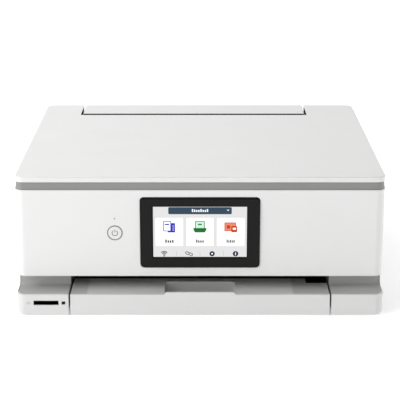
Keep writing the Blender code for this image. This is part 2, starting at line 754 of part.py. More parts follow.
def carriage_motor(material, group):
    steps = [(46.0, 72.0, 13.0), (72.0, 75.5, 5.0)]
    return part("carriage_motor", material, group, [turned((PULLEY_X, PULLEY_Y), steps, "Z")])


def belt_pulley(name, x, material, group):
    steps = [(75.9, 80.0, 2.5), (80.0, 87.0, PULLEY_RADIUS), (87.0, 89.0, 2.5)]
    return part(name, material, group, [turned((x, PULLEY_Y), steps, "Z")])


def feed_motor(material, group):
    steps = [(2.4 - ENGINE_SIDE, -140.0, 13.0)]
    return part("feed_motor", material, group, [turned((45.0, 62.0), steps, "X")])


def roller(name, centre, pulley, shaft, radius, material, group):
    """A paper roller with its shaft and, outside the frame, its drive pulley."""
    steps = [
        (-177.5, -172.5, pulley),
        (-172.5, -112.0, shaft),
        (-112.0, 112.0, radius),
        (112.0, 125.0, shaft),
    ]
    return part(name, material, group, [turned(centre, steps, "X")])


def platen(material, group):
    slab = box((-112.0, 112.0), (-72.0, 2.0), (41.0, 47.5))
    trough = box((-108.0, 108.0), (-52.0, -28.0), (44.5, 50.0))
    return part("print_platen", material, group, [slab], [trough])


def purge_unit(material, group):
    block = box((114.0, 160.0), (-70.0, 0.0), (33.0, 48.5))
    wells = [box(x, (-58.0, -18.0), (44.0, 50.0)) for x in ((119.0, 134.0), (139.0, 155.0))]
    return part("purge_unit", material, group, [block], wells)


def carriage(material, group):
    x, y, z = CARRIAGE_X, CARRIAGE_Y, CARRIAGE_Z
    shell = box(x, y, z)
    arm = box((100.0, 124.0), (y[1] - 1, 24.0), (91.0, 95.0))
    clamp = box((100.0, 124.0), (21.3, 24.2), (82.0, 95.0))
    bay = box(widen(x, -3), widen(y, -3), (58.0, z[1] + 1))
    mouth = box(widen(x, -3), (y[0] - 1, y[0] + 4), (76.0, z[1] + 1))
    return part("print_carriage", material, group, [shell, arm, clamp], [bay, mouth])


def ink_tanks(inks, group):
    for number, (ink, material) in enumerate(inks):
        start = CARRIAGE_X[0] + 3.4 + number * TANK_PITCH
        tank = box((start, start + TANK_WIDTH), (-68.6, 1.6), (58.4, 94.0))
        latch = box((start + 4, start + 14), (-68.6, -58.0), (93.0, 97.0))
        part("ink_tank_" + ink, material, group, [tank, latch])


# ---------------------------------------------------------------- assembly


def build():
    clear_scene()
    white = plastic("white_plastic", (0.80, 0.80, 0.79))
    grey = plastic("grey_plastic", (0.33, 0.33, 0.32))
    dark = plastic("dark_plastic", (0.05, 0.05, 0.05))
    black_gloss = plastic("black_gloss", (0.01, 0.01, 0.012), 0.15)
    screen = plastic("screen", (0.55, 0.57, 0.60), 0.1)
    glass = plastic("scanner_glass", (0.75, 0.80, 0.80), 0.03, 0.0, 0.35)
    pad_foam = plastic("pad_white", (0.85, 0.85, 0.84), 0.8)
    steel = plastic("zinc_steel", (0.55, 0.56, 0.57), 0.35, 1.0)
    rubber = plastic("rubber", (0.03, 0.03, 0.03), 0.85)
    lamp = plastic("lamp", (0.06, 0.06, 0.06), 0.1)
    board = plastic("circuit_board", (0.03, 0.18, 0.08), 0.4)

    chassis = body("chassis")
    base_tray(dark, chassis)
    feet(rubber, chassis)
    front_panel(white, chassis)
    side_cover("left_side_cover", -1, white, chassis)
    side_cover("right_side_cover", 1, white, chassis)
    rear_cover(white, chassis)
    left_wing_cover(white, chassis)
    wing_cover("right_wing_cover", 1, white, chassis)
    ledge("left_ledge", -1, grey, chassis)
    ledge("right_ledge", 1, grey, chassis)
    card_slot(dark, chassis)
    access_lamp(lamp, chassis)
    power_inlet(dark, chassis)
    usb_port(steel, chassis)
    power_supply(dark, chassis)
    logic_board(board, chassis)
    panel_bay(dark, chassis)
    scanner_hinge("scanner_hinge_left", -1, steel, chassis)
    scanner_hinge("scanner_hinge_right", 1, steel, chassis)
    rear_tray_bed(grey, chassis)
    engine_frame(steel, chassis)
    carriage_rail(steel, chassis)
    carriage_motor(steel, chassis)
    ends = ((-PULLEY_X, PULLEY_Y), (PULLEY_X, PULLEY_Y))
    belt("carriage_belt", ends, (PULLEY_RADIUS, PULLEY_RADIUS), (81.0, 86.0), "Z", rubber, chassis)
    feed_motor(steel, chassis)
    shafts = (OUTPUT_CENTRE, FEED_CENTRE)
    belt("feed_belt", shafts, (OUTPUT_PULLEY, FEED_PULLEY), (-177.0, -173.0), "X", rubber, chassis)
    platen(dark, chassis)
    purge_unit(dark, chassis)

    panel = body("touch_panel", (0, *PANEL_AXIS), chassis)
    touch_panel_frame(black_gloss, panel)
    touch_screen(screen, panel)
    button = body("power_button", (BUTTON_CENTRE[0], UPPER_FRONT, BUTTON_CENTRE[1]), chassis)
    power_button(white, button)

    scanner = body("scanner_unit", (0, *SCANNER_AXIS), chassis)
    scanner_frame(grey, scanner)
    scanner_tub(dark, scanner)
    platen_glass(glass, scanner)
    image_sensor(dark, body("image_sensor", (-155, 0, 116), scanner))
    lid = body("document_cover", (0, *LID_AXIS), scanner)
    document_cover(white, lid)
    document_pad(pad_foam, lid)

    hatch = body("rear_tray_cover", (0, *HATCH_AXIS), chassis)
    rear_tray_cover(white, hatch)
    paper_support(grey, body("paper_support", (0, *HATCH_AXIS), hatch))
    rear_paper_guide("rear_guide_left", -1, grey, body("rear_guide_left", (-106, 145, 115), chassis))
    rear_paper_guide("rear_guide_right", 1, grey, body("rear_guide_right", (106, 145, 115), chassis))

    cassette = body("cassette", (0, LOWER_FRONT, LEDGE_TOP), chassis)
    cassette_body(dark, cassette)
    cassette_cover(white, cassette)
    cassette_ledge(grey, cassette)
    cassette_guide("cassette_guide_left", -1, grey, body("cassette_guide_left", (-107, 0, 7), cassette))
    cassette_guide("cassette_guide_right", 1, grey, body("cassette_guide_right", (107, 0, 7), cassette))
    output_tray(grey, body("output_tray", (0, -118, OUTPUT_Z[0]), chassis))

    head = body("carriage", (PULLEY_X, 0, RAIL_Z[1]), chassis)
    carriage(dark, head)
    colours = {
        "black": (0.02, 0.02, 0.02),
        "cyan": (0.0, 0.35, 0.65),
        "magenta": (0.65, 0.02, 0.25),
        "yellow": (0.85, 0.65, 0.02),
        "photo_black": (0.10, 0.10, 0.11),
    }
    ink_tanks([(ink, plastic("ink_" + ink, colour, 0.3)) for ink, colour in colours.items()], head)
    for name, x in (("idler_pulley", -PULLEY_X), ("motor_pulley", PULLEY_X)):
        belt_pulley(name, x, dark, body(name, (x, PULLEY_Y, 80), chassis))
    feed = body("feed_roller", (0, *FEED_CENTRE), chassis)
    roller("feed_roller", FEED_CENTRE, FEED_PULLEY, 4.0, 6.0, rubber, feed)
    output = body("output_roller", (0, *OUTPUT_CENTRE), chassis)
    roller("output_roller", OUTPUT_CENTRE, OUTPUT_PULLEY, 3.0, 5.0, rubber, output)


build()
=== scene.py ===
"""Looks of the compact all-in-one inkjet printer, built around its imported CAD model.

Lengths are written in millimetres and multiplied by MM where a mesh or an object is made.
+X is the user's right, -Y the front and +Z up.
"""

import json
import math

import bmesh
import bpy
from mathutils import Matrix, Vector

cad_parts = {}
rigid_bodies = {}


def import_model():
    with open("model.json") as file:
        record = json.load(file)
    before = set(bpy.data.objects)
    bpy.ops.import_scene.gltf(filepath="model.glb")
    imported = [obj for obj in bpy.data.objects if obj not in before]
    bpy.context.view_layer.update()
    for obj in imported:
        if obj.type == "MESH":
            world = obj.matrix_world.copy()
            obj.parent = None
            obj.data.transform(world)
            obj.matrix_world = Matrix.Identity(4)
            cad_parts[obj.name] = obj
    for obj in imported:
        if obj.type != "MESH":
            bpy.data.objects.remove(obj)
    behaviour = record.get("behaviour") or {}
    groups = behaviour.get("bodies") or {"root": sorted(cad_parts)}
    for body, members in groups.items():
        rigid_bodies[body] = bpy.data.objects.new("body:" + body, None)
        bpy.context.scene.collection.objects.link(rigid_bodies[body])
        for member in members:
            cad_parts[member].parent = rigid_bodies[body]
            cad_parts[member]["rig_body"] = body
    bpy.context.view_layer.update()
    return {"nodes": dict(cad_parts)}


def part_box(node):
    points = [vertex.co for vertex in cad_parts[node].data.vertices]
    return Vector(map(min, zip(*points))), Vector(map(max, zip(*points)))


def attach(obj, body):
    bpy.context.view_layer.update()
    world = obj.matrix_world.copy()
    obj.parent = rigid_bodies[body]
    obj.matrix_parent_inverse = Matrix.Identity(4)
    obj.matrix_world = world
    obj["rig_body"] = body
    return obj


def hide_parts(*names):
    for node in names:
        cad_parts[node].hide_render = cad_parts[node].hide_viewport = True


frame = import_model()

MM = 0.001
SMOOTH_ANGLE = math.radians(32)
BEVEL_LIMIT = math.radians(35)

# Materials: noise scales in cells per metre; a wave texture repeats every WAVE_PERIOD over its scale
MOTTLE_SCALE = 22
WAVE_PERIOD = math.pi / 10
RAMP_ENDS = (0.3, 0.7)
GLOSS_SWING = 0.04
GRAIN_DEPTH = 0.06
# Painted shade on the cassette ledge: darker beyond two places along X, as if shadowed by the recess's end
# walls, with soft borders
CASSETTE_UNSHADED_MIDDLE = (-115.0, 94.5)
CASSETTE_PAINTED_END_SHADE = 0.75
SHADE_BORDER = 2.0

# Camera: a long lens in front of the printer, looking slightly down; its place is in metres
CAMERA_PLACE = (0.0, -1.4664, 0.5084)
CAMERA_TILT = math.radians(90 - 16.6)
CAMERA_LENS = 122.4

# Light: soft boxes as (name, place in metres, side in metres, watts), all aimed at LIGHT_TARGET
LIGHT_TARGET = (0.0, 0.0, 0.08)
LIGHTS = [
    ("key_left", (-1.5, -1.0, 1.1), 1.2, 17.0),
    ("low_left", (-1.7, -1.3, 0.6), 1.2, 2.0),
    ("near_left", (-0.9, 0.15, 0.75), 0.7, 2.5),
    ("top_left", (-0.9, -0.4, 1.8), 1.4, 5.0),
    ("front_high", (0.2, -2.6, 1.0), 1.6, 1.8),
    ("front_low", (0.0, -2.4, 0.3), 1.2, 3.8),
    ("rim_right", (1.6, 0.2, 0.35), 0.5, 7.4),
    ("top_back", (0.0, 1.4, 1.6), 1.6, 17.5),
]
WORLD_LIGHT = 0.25
# The floor's own light grows with the distance from the printer, over GLOW_REACH in metres
FLOOR_GLOW = 0.34
FAR_FLOOR_GLOW = 0.70
GLOW_REACH = (0.5, 1.5)

# Near-black strips in the seams round the rear tray's hatch, painted shade that darkens the gaps; Y is from
# its front edge, X is across a side wall
HATCH_GAP = 2.2
SHADE_STRIP_LIFT = 0.5
SHADE_STRIP_PROUD = 0.4
SHADE_STRIP_INSET = 0.6
SHADE_STRIP_REACH = (-2.0, 0.6)
SUPPORT_SPARE = (1.5, 0.8)
NOTCH_SHADE_Y = (-4.0, 35.0)
NOTCH_SHADE_X = (-0.5, 0.12)
NOTCH_SHADE_DROP = 0.06

# Screen picture; words are rows of blocks, with one height for each block; Y is from the screen's face
UI_STEP = 0.05
UI_HEADER_X = (-32.0, 32.0)
UI_HEADER_LOW = 103.2
UI_TITLE = (3.1, 2.6, 2.2, 2.2, 3.1, 2.2, 2.2, 3.1)
UI_TITLE_WIDTH = 17.2
UI_TITLE_Z = 107.1
UI_CHEVRON = ((27.1, 107.8), (28.3, 106.5), (29.5, 107.8), (29.1, 108.2), (28.3, 107.3), (27.5, 108.2))
UI_CARD_X = (-31.0, -0.1, 31.0)
UI_CARD_WIDTH = 28.4
UI_CARD_Z = (69.2, 99.6)
UI_BORDER = 0.35
UI_WORDS = (((3.5, 2.6, 2.6, 3.0), 9.2), ((3.5, 2.6, 2.6, 2.6), 8.4), ((3.5, 2.6, 3.2, 2.6, 3.2), 8.8))
UI_LABEL_Z = 74.7
UI_BLOCK_FILL = 0.62
UI_FOOT_X = (-36.4, -11.1, 12.3, 36.1)
UI_FOOT_Z = 61.2
UI_FAN_Z = 59.0
UI_DIVIDER_X = (-24.0, 0.0, 24.0)
UI_DIVIDER_Z = (58.9, 63.7)
# Matt black strips round the screen, painted shade on the frame's inner edge: reach from the screen's edges,
# and Y from its face
SCREEN_SHADE_REACH = (0.35, 1.25)
SCREEN_SHADE_Y = (-1.15, 0.4)

# Marks on the front; PRINT_Y reaches from just proud of a surface into it
PRINT_Y = (-0.05, 0.1)
POWER_SIGN_RADIUS = 2.85
POWER_RING_RADIUS = 7.35
STATUS_LIGHT = (-86.1, 98.6)
CARD_SIGN_X = (-176.7, -171.9)
CARD_SIGN_HEIGHT = 3.0
CARD_SIGN_CORNER = 1.1

# Scanner unit; the sensor's rod as (Y, height over the tub's floor, radius)
RIB_WIDTH = 1.0
LID_MARGIN = 4.0
LID_STOP_RADIUS = 3.2
PAD_BORDER = 6.0
MARK_WIDTH = 0.5
TUB_FLOOR = 2.4
TUB_RIB = 0.9
SENSOR_ROD = (-38.0, 1.9, 1.6)
SENSOR_BELT_Y = (-31.6, -30.4)

# Rear tray: (Y, Z) of the foot of the bed's underside, the slope's rise and the bed's thickness
SLOPE_FOOT = (64.0, 46.0)
SLOPE_RISE = (98.0, 80.0)
BED_THICK = 2.5
BED_RIB_X = (-92.0, 78.0)
BED_PAD_X = (-22.0, 22.0)
GRIP_ALONG = (100, 104, 108, 112)
REAR_GRIP_X = (90, 103)

# Back: each group of louvres as (X from first to last, how many, Z)
LOUVRES = (((-140.0, -92.0), 13, (72.0, 100.0)), ((60.0, 128.0), 18, (20.0, 44.0)))
LOUVRE_WIDTH = 2.2
BACK_SCREWS = [(x, z) for x in (-172.0, 172.0) for z in (34.0, 112.0)]
SCREW_RADIUS = 2.6
PLATE_X = (-60.0, -14.0)
PLATE_Z = (40.0, 62.0)

# Print engine: axles as (Y, Z); rollers as (tyre radius, shaft radius, pulley radius, tyres, tyre width)
FEED_AXLE = (14.0, 43.0)
FEED_ROLLER = (6.0, 4.0, 12.0, 5, 38.0)
OUTPUT_AXLE = (-84.0, 40.0)
OUTPUT_ROLLER = (5.0, 3.0, 10.0, 9, 13.0)
ROLLER_HALF = 112
PLATEN_RIB_X = (-102, 102)
PLATEN_FOAM_X = (-107.0, 107.0)
PLATEN_FOAM_Y = (-51.0, -29.0)
STAR_AXLE = (-84.0, 48.4)
STAR_X = (-104, 104)
STAR_BAR = ((-116.0, 116.0), (-88.5, -79.5), (52.0, 53.6))
STAR_STEM_Y = (-85.4, -82.6)
STAR_STEM_Z = (48.0, 52.4)
# A belt pulley's heights: lower flange, teeth and upper flange lie between them
PULLEY_Z = (80.0, 80.4, 86.6, 87.0)
CARRIAGE_RIB_Y = (-60, -6)
NOZZLES_Y = (-46.0, -22.0)
ENCODER_STRIP = ((-166.0, 166.0), (6.35, 6.6), (83.6, 90.0))
PURGE_CAPS = ((119.6, 133.4), (139.6, 154.4))
PURGE_CAP_Y = (-57.0, -19.0)
PURGE_WIPER = ((135.8, 137.0), (-56.0, -20.0))

# Boards, cassette and output tray; CAN_X is from the board's middle
PCB_THICK = 1.6
CAN_X = (-12, -4, 4)
CASSETTE_FLOOR = 1.7
CASSETTE_RIB_X = (-56, 56)
CASSETTE_PAD_X = (-16.0, 16.0)
CASSETTE_GRIP_X = (92, 103)
CASSETTE_GRIP_Y = (-12, 8)
CASSETTE_GRIP_Z = (8.0, 8.9)
OUTPUT_RIB_X = (-84, 84)


def linear(grey):
    """A display value from 0 to 255 as linear light."""
    value = grey / 255
    return value / 12.92 if value <= 0.04045 else ((value + 0.055) / 1.055) ** 2.4


def middle(span):
    return (span[0] + span[1]) / 2


# ---- materials


def new_material(name):
    material = bpy.data.materials.new(name)
    material.use_nodes = True
    return material, material.node_tree.nodes, material.node_tree.links


def noise(nodes, links, scale, detail=2.0, roughness=0.5):
    """A noise texture in object space, in cells per metre."""
    place = nodes.new("ShaderNodeTexCoord")
    texture = nodes.new("ShaderNodeTexNoise")
    texture.inputs["Scale"].default_value = scale
    texture.inputs["Detail"].default_value = detail
    texture.inputs["Roughness"].default_value = roughness
    links.new(place.outputs["Object"], texture.inputs["Vector"])
    return texture.outputs["Fac"]


def ramp(nodes, links, source, low, high):
    """Turns a 0 to 1 value into one between two colours or greys."""
    blend = nodes.new("ShaderNodeValToRGB")
    blend.color_ramp.elements[0].position = RAMP_ENDS[0]
    blend.color_ramp.elements[1].position = RAMP_ENDS[1]
    blend.color_ramp.elements[0].color = (*low, 1.0)
    blend.color_ramp.elements[1].color = (*high, 1.0)
    links.new(source, blend.inputs["Fac"])
    return blend.outputs["Color"]


def shade(colour, factor):
    return tuple(min(1.0, channel * factor) for channel in colour)


def varied(nodes, links, source, colour, swing):
    """A colour made darker and lighter by the fraction swing, as source goes from 0 to 1."""
    return ramp(nodes, links, source, shade(colour, 1 - swing), shade(colour, 1 + swing))


def varied_grey(nodes, links, source, value, swing):
    """A single value taken swing below and above, as source goes from 0 to 1."""
    return ramp(nodes, links, source, (value - swing,) * 3, (value + swing,) * 3)


def moulded(name, colour, roughness, grain=900, bump=0.0, mottle=0.02, coat=0.0, specular=0.5):
    """Moulded plastic: spark-eroded grain as bump, faint colour mottle and uneven gloss."""
    material, nodes, links = new_material(name)
    shader = nodes["Principled BSDF"]
    broad = noise(nodes, links, MOTTLE_SCALE)
    links.new(varied(nodes, links, broad, colour, mottle), shader.inputs["Base Color"])
    fine = noise(nodes, links, grain, 3.0, 0.6)
    links.new(varied_grey(nodes, links, fine, roughness, GLOSS_SWING), shader.inputs["Roughness"])
    shader.inputs["Specular IOR Level"].default_value = specular
    if coat:
        shader.inputs["Coat Weight"].default_value = coat
        shader.inputs["Coat Roughness"].default_value = 0.08
    if bump:
        relief = nodes.new("ShaderNodeBump")
        relief.inputs["Strength"].default_value = bump
        relief.inputs["Distance"].default_value = GRAIN_DEPTH * MM
        links.new(fine, relief.inputs["Height"])
        links.new(relief.outputs["Normal"], shader.inputs["Normal"])
    return material


def woven(material, pitch, angle, height):
    """Adds a fine crosshatch relief under the grain: two sets of waves, at plus and minus angle."""
    nodes, links = material.node_tree.nodes, material.node_tree.links
    place = nodes.new("ShaderNodeTexCoord")
    waves = []
    for turn in (angle, -angle):
        rotate = nodes.new("ShaderNodeMapping")
        rotate.inputs["Rotation"].default_value = (0.0, 0.0, math.radians(turn))
        wave = nodes.new("ShaderNodeTexWave")
        wave.inputs["Scale"].default_value = WAVE_PERIOD / (pitch * MM)
        wave.inputs["Distortion"].default_value = 1.2
        wave.inputs["Detail"].default_value = 1.0
        links.new(place.outputs["Object"], rotate.inputs["Vector"])
        links.new(rotate.outputs["Vector"], wave.inputs["Vector"])
        waves.append(wave.outputs["Fac"])
    cross = nodes.new("ShaderNodeMath")
    cross.operation = "MULTIPLY"
    links.new(waves[0], cross.inputs[0])
    links.new(waves[1], cross.inputs[1])
    relief = nodes.new("ShaderNodeBump")
    relief.inputs["Distance"].default_value = height * MM
    links.new(cross.outputs["Value"], relief.inputs["Height"])
    links.new(relief.outputs["Normal"], nodes["Bump"].inputs["Normal"])


def paint_end_shade(material, span, outside):
    """Painted shade: dims the colour by the factor outside, except between two places along X, with soft
    borders.
    """
    nodes, links = material.node_tree.nodes, material.node_tree.links
    colour = nodes["Principled BSDF"].inputs["Base Color"]
    place = nodes.new("ShaderNodeTexCoord")
    split = nodes.new("ShaderNodeSeparateXYZ")
    links.new(place.outputs["Object"], split.inputs["Vector"])
    shift = nodes.new("ShaderNodeMath")
    shift.operation = "SUBTRACT"
    shift.inputs[1].default_value = middle(span) * MM
    links.new(split.outputs["X"], shift.inputs[0])
    distance = nodes.new("ShaderNodeMath")
    distance.operation = "ABSOLUTE"
    links.new(shift.outputs["Value"], distance.inputs[0])
    half = (span[1] - span[0]) / 2
    factor = nodes.new("ShaderNodeMapRange")
    factor.interpolation_type = "SMOOTHSTEP"
    factor.inputs["From Min"].default_value = (half - SHADE_BORDER) * MM
    factor.inputs["From Max"].default_value = (half + SHADE_BORDER) * MM
    factor.inputs["To Min"].default_value = 1.0
    factor.inputs["To Max"].default_value = outside
    links.new(distance.outputs["Value"], factor.inputs["Value"])
    scale = nodes.new("ShaderNodeVectorMath")
    scale.operation = "SCALE"
    links.new(colour.links[0].from_socket, scale.inputs["Vector"])
    links.new(factor.outputs["Result"], scale.inputs["Scale"])
    links.new(scale.outputs["Vector"], colour)


def sheet_metal(name, colour, roughness):
    """Zinc-plated steel with rolling marks along X."""
    material, nodes, links = new_material(name)
    shader = nodes["Principled BSDF"]
    shader.inputs["Metallic"].default_value = 1.0
    place = nodes.new("ShaderNodeTexCoord")
    stretch = nodes.new("ShaderNodeMapping")
    stretch.inputs["Scale"].default_value = (30, 900, 900)
    grain = nodes.new("ShaderNodeTexNoise")
    grain.inputs["Scale"].default_value = 1.0
    links.new(place.outputs["Object"], stretch.inputs["Vector"])
    links.new(stretch.outputs["Vector"], grain.inputs["Vector"])
    streaks = grain.outputs["Fac"]
    links.new(varied(nodes, links, streaks, colour, 0.1), shader.inputs["Base Color"])
    links.new(varied_grey(nodes, links, streaks, roughness, 0.08), shader.inputs["Roughness"])
    return material


def clear_glass(name):
    material, nodes, links = new_material(name)
    shader = nodes["Principled BSDF"]
    shader.inputs["Base Color"].default_value = (0.86, 0.93, 0.91, 1.0)
    shader.inputs["Transmission Weight"].default_value = 1.0
    shader.inputs["IOR"].default_value = 1.5
    haze = noise(nodes, links, 40)
    links.new(ramp(nodes, links, haze, (0.01,) * 3, (0.04,) * 3), shader.inputs["Roughness"])
    return material


def glowing(name, levels, strength):
    """A lit display colour, given in levels from 0 to 255: its own light over a dull base."""
    colour = [linear(level) for level in levels]
    material, nodes, links = new_material(name)
    shader = nodes["Principled BSDF"]
    fine = noise(nodes, links, 6000, 1.0)
    links.new(varied(nodes, links, fine, colour, 0.01), shader.inputs["Emission Color"])
    shader.inputs["Emission Strength"].default_value = strength
    shader.inputs["Base Color"].default_value = (*shade(colour, 0.12), 1.0)
    shader.inputs["Roughness"].default_value = 0.4
    shader.inputs["Specular IOR Level"].default_value = 0.2
    return material


WHITE = moulded("white_case_plastic", (0.83, 0.83, 0.825), 0.50, grain=1400, bump=0.22, mottle=0.006)
LID_WHITE = moulded("lid_textured_plastic", (0.83, 0.83, 0.825), 0.48, bump=0.45, mottle=0.008)
woven(LID_WHITE, pitch=3.2, angle=24, height=0.05)
# The case white a shade darker on the lower body: painted shade for the lesser light low on the front
LOWER_WHITE_SHADED = moulded("lower_case_white_painted_shade", (0.745, 0.745, 0.74), 0.50, grain=1400, bump=0.22, mottle=0.006)
CASSETTE_GREY = moulded("cassette_top_plastic", (0.66, 0.66, 0.65), 0.50, grain=1400, bump=0.3)
# its ends darkened as painted shade, where the recess's end walls would shadow them
paint_end_shade(CASSETTE_GREY, CASSETTE_UNSHADED_MIDDLE, CASSETTE_PAINTED_END_SHADE)
GREY = moulded("grey_case_plastic", (0.32, 0.32, 0.315), 0.52, grain=1400, bump=0.3)
# The case white made darker on both side covers: painted shade that keeps them from washing out under the
# side lights
SIDE_WHITE_SHADED = moulded("side_cover_white_painted_shade", (0.57, 0.57, 0.565), 0.52, grain=1400, bump=0.4)
# Grey plastic of the band under the lid, made darker than the other grey: partly painted shade for the
# shadow under the lid's edge
RIM_GREY_SHADED = moulded("scanner_rim_grey_with_painted_shade", (0.275, 0.275, 0.27), 0.52, grain=1400, bump=0.3)
LEDGE_GREY = moulded("ledge_plastic", (0.48, 0.48, 0.472), 0.50, grain=1400, bump=0.3)
DARK = moulded("dark_inner_plastic", (0.022, 0.022, 0.022), 0.55, grain=1200, bump=0.4, mottle=0.10)
# Near-black matt strips: painted shade in the hatch's seams and round the screen
SHADE_BLACK = moulded("painted_shade_black", (0.006, 0.006, 0.006), 0.95, grain=1800, bump=0.6, mottle=0.2, specular=0.1)
PANEL_BLACK = (0.0095, 0.0095, 0.0092)
BLACK_GLOSS = moulded("panel_black", PANEL_BLACK, 0.42, grain=2600, bump=0.05, mottle=0.05, specular=0.14)
SCREEN_LIGHT = glowing("screen_background", (224, 224, 224), 0.95)
UI_WHITE = glowing("screen_white", (255, 255, 255), 1.0)
UI_LINE = glowing("screen_line", (196, 197, 200), 0.95)
UI_SLATE = glowing("screen_slate", (46, 70, 88), 0.9)
UI_INK = glowing("screen_ink", (36, 38, 42), 0.9)
UI_NAVY = glowing("screen_navy", (10, 36, 56), 0.9)
UI_BLUE = glowing("screen_blue", (44, 38, 190), 0.9)
UI_PALE_BLUE = glowing("screen_pale_blue", (206, 208, 246), 0.95)
UI_GREEN = glowing("screen_green", (0, 116, 34), 0.9)
UI_MINT = glowing("screen_mint", (206, 240, 220), 0.95)
UI_ORANGE = glowing("screen_orange", (200, 62, 32), 0.9)
UI_PEACH = glowing("screen_peach", (236, 134, 100), 0.95)
UI_GREY = glowing("screen_grey", (84, 94, 104), 0.95)
MARK_GREY = moulded("printed_grey", (0.20, 0.20, 0.20), 0.5, grain=2000, bump=0.1, mottle=0.03)
FAINT_GREY = moulded("printed_faint_grey", (0.62, 0.62, 0.615), 0.5, grain=2000, bump=0.1, mottle=0.03)
RUBBER = moulded("black_rubber", (0.02, 0.02, 0.02), 0.82, grain=700, bump=0.7, mottle=0.15)
STEEL = sheet_metal("zinc_steel", (0.50, 0.51, 0.52), 0.46)
GLASS = clear_glass("platen_float_glass")
PAD = moulded("pad_backing_sheet", (0.86, 0.86, 0.855), 0.75, grain=2200, bump=0.35, mottle=0.01)
BOARD = moulded("solder_mask_green", (0.02, 0.14, 0.06), 0.3, grain=500, bump=0.2, mottle=0.2, coat=0.3)
LAMP_BLACK = (0.006, 0.006, 0.007)
LAMP = moulded("smoked_lamp_lens", LAMP_BLACK, 0.30, grain=1500, bump=0.05, mottle=0.05, specular=0.2)
INK_COLOURS = {
    "black": (0.02, 0.02, 0.02),
    "cyan": (0.01, 0.30, 0.62),
    "magenta": (0.60, 0.02, 0.22),
    "yellow": (0.82, 0.60, 0.02),
    "photo_black": (0.09, 0.09, 0.10),
}
INKS = {"ink_tank_" + ink: moulded("ink_case_" + ink, colour, 0.3) for ink, colour in INK_COLOURS.items()}


# ---- mesh helpers


def spans(node):
    """The (low, high) pairs of a CAD node along X, Y and Z, in millimetres."""
    low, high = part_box(node)
    return [(low[i] / MM, high[i] / MM) for i in range(3)]


def point_at(axis, u, v, w):
    """A point from its outline coordinates u, v and its height w along axis."""
    return {"X": (w, u, v), "Y": (u, w, v), "Z": (u, v, w)}[axis]


def stack(rings, axis):
    """A closed solid through rings of equally many points, each ring (outline, height)."""
    bm = bmesh.new()
    loops = [[bm.verts.new(point_at(axis, u, v, w)) for u, v in outline] for outline, w in rings]
    for below, above in zip(loops, loops[1:]):
        for i in range(len(below)):
            bm.faces.new((below[i - 1], below[i], above[i], above[i - 1]))
    bm.faces.new(loops[0])
    bm.faces.new(loops[-1])
    bmesh.ops.recalc_face_normals(bm, faces=bm.faces)
    return bm


def prism(outline, span, axis):
    return stack([(outline, span[0]), (outline, span[1])], axis)


def box(x, y, z):
    return prism([(x[0], y[0]), (x[1], y[0]), (x[1], y[1]), (x[0], y[1])], z, "Z")


def arc(centre, radius, start, end, steps):
    angles = [math.radians(start + (end - start) * i / steps) for i in range(steps + 1)]
    return [(centre[0] + radius * math.cos(a), centre[1] + radius * math.sin(a)) for a in angles]


def circle(centre, radius, sides):
    return arc(centre, radius, 0, 360 - 360 / sides, sides - 1)


def ring(centre, radius, width, start=0, end=360, steps=48):
    """The outline of a ring or of a part of one, as one band."""
    outer = arc(centre, radius + width / 2, start, end, steps)
    inner = arc(centre, radius - width / 2, end, start, steps)
    return outer + inner


def rounded(x, y, radius, steps=6):
    """The outline of a rectangle with round corners."""
    corners = [
        (x[1] - radius, y[1] - radius),
        (x[0] + radius, y[1] - radius),
        (x[0] + radius, y[0] + radius),
        (x[1] - radius, y[0] + radius),
    ]
    points = []
    for turn, centre in enumerate(corners):
        points += arc(centre, radius, 90 * turn, 90 * turn + 90, steps)
    return points


def joined(shapes):
    """Several closed solids as one mesh."""
    total = bmesh.new()
    for bm in shapes:
        mesh = bpy.data.meshes.new("joined")
        bm.to_mesh(mesh)
        bm.free()
        total.from_mesh(mesh)
        bpy.data.meshes.remove(mesh)
    return total


def widen(span, amount):
    return span[0] - amount, span[1] + amount


def about(centre, width):
    return centre - width / 2, centre + width / 2


def shifted(base, pair):
    """Two places that are given from a base."""
    return base + pair[0], base + pair[1]


def rows(start, stop, count):
    """Evenly spaced places from start to stop, both ends included."""
    return [start + (stop - start) * i / (count - 1) for i in range(count)]


def ribs_at_x(places, width, y, z):
    """A box at each place along X."""
    return [box(about(x, width), y, z) for x in places]


def ribs_at_y(places, width, x, z):
    """A box at each place along Y."""
    return [box(x, about(y, width), z) for y in places]


def discs(centres, radius, span, axis, sides):
    """A disc at each centre, with its axis along X, Y or Z."""
    return [prism(circle(centre, radius, sides), span, axis) for centre in centres]


def slices(outline, places, width):
    """The same outline as a slice at each place along X."""
    return [prism(outline, about(x, width), "X") for x in places]


def link_mesh(name, bm, scale=MM):
    for vert in bm.verts:
        vert.co *= scale
    mesh = bpy.data.meshes.new(name)
    bm.to_mesh(mesh)
    bm.free()
    obj = bpy.data.objects.new(name, mesh)
    bpy.context.scene.collection.objects.link(obj)
    return obj


def settle(obj):
    """Turns an object's modifiers into its mesh."""
    graph = bpy.context.evaluated_depsgraph_get()
    mesh = bpy.data.meshes.new_from_object(obj.evaluated_get(graph))
    obj.modifiers.clear()
    obj.data = mesh


def carve(obj, bm):
    """Cuts a shape out of an object."""
    tool = link_mesh("tool", bm)
    modifier = obj.modifiers.new("shape", "BOOLEAN")
    modifier.operation = "DIFFERENCE"
    modifier.solver = "EXACT"
    modifier.object = tool
    settle(obj)
    bpy.data.objects.remove(tool)


def soften(obj, width, segments):
    """Rounds every edge that turns by more than BEVEL_LIMIT and shades the result smoothly."""
    bevel = obj.modifiers.new("edge", "BEVEL")
    bevel.width = width * MM
    bevel.segments = segments
    bevel.limit_method = "ANGLE"
    bevel.angle_limit = BEVEL_LIMIT
    bevel.use_clamp_overlap = True
    bevel.miter_outer = "MITER_ARC"
    settle(obj)
    smooth(obj)


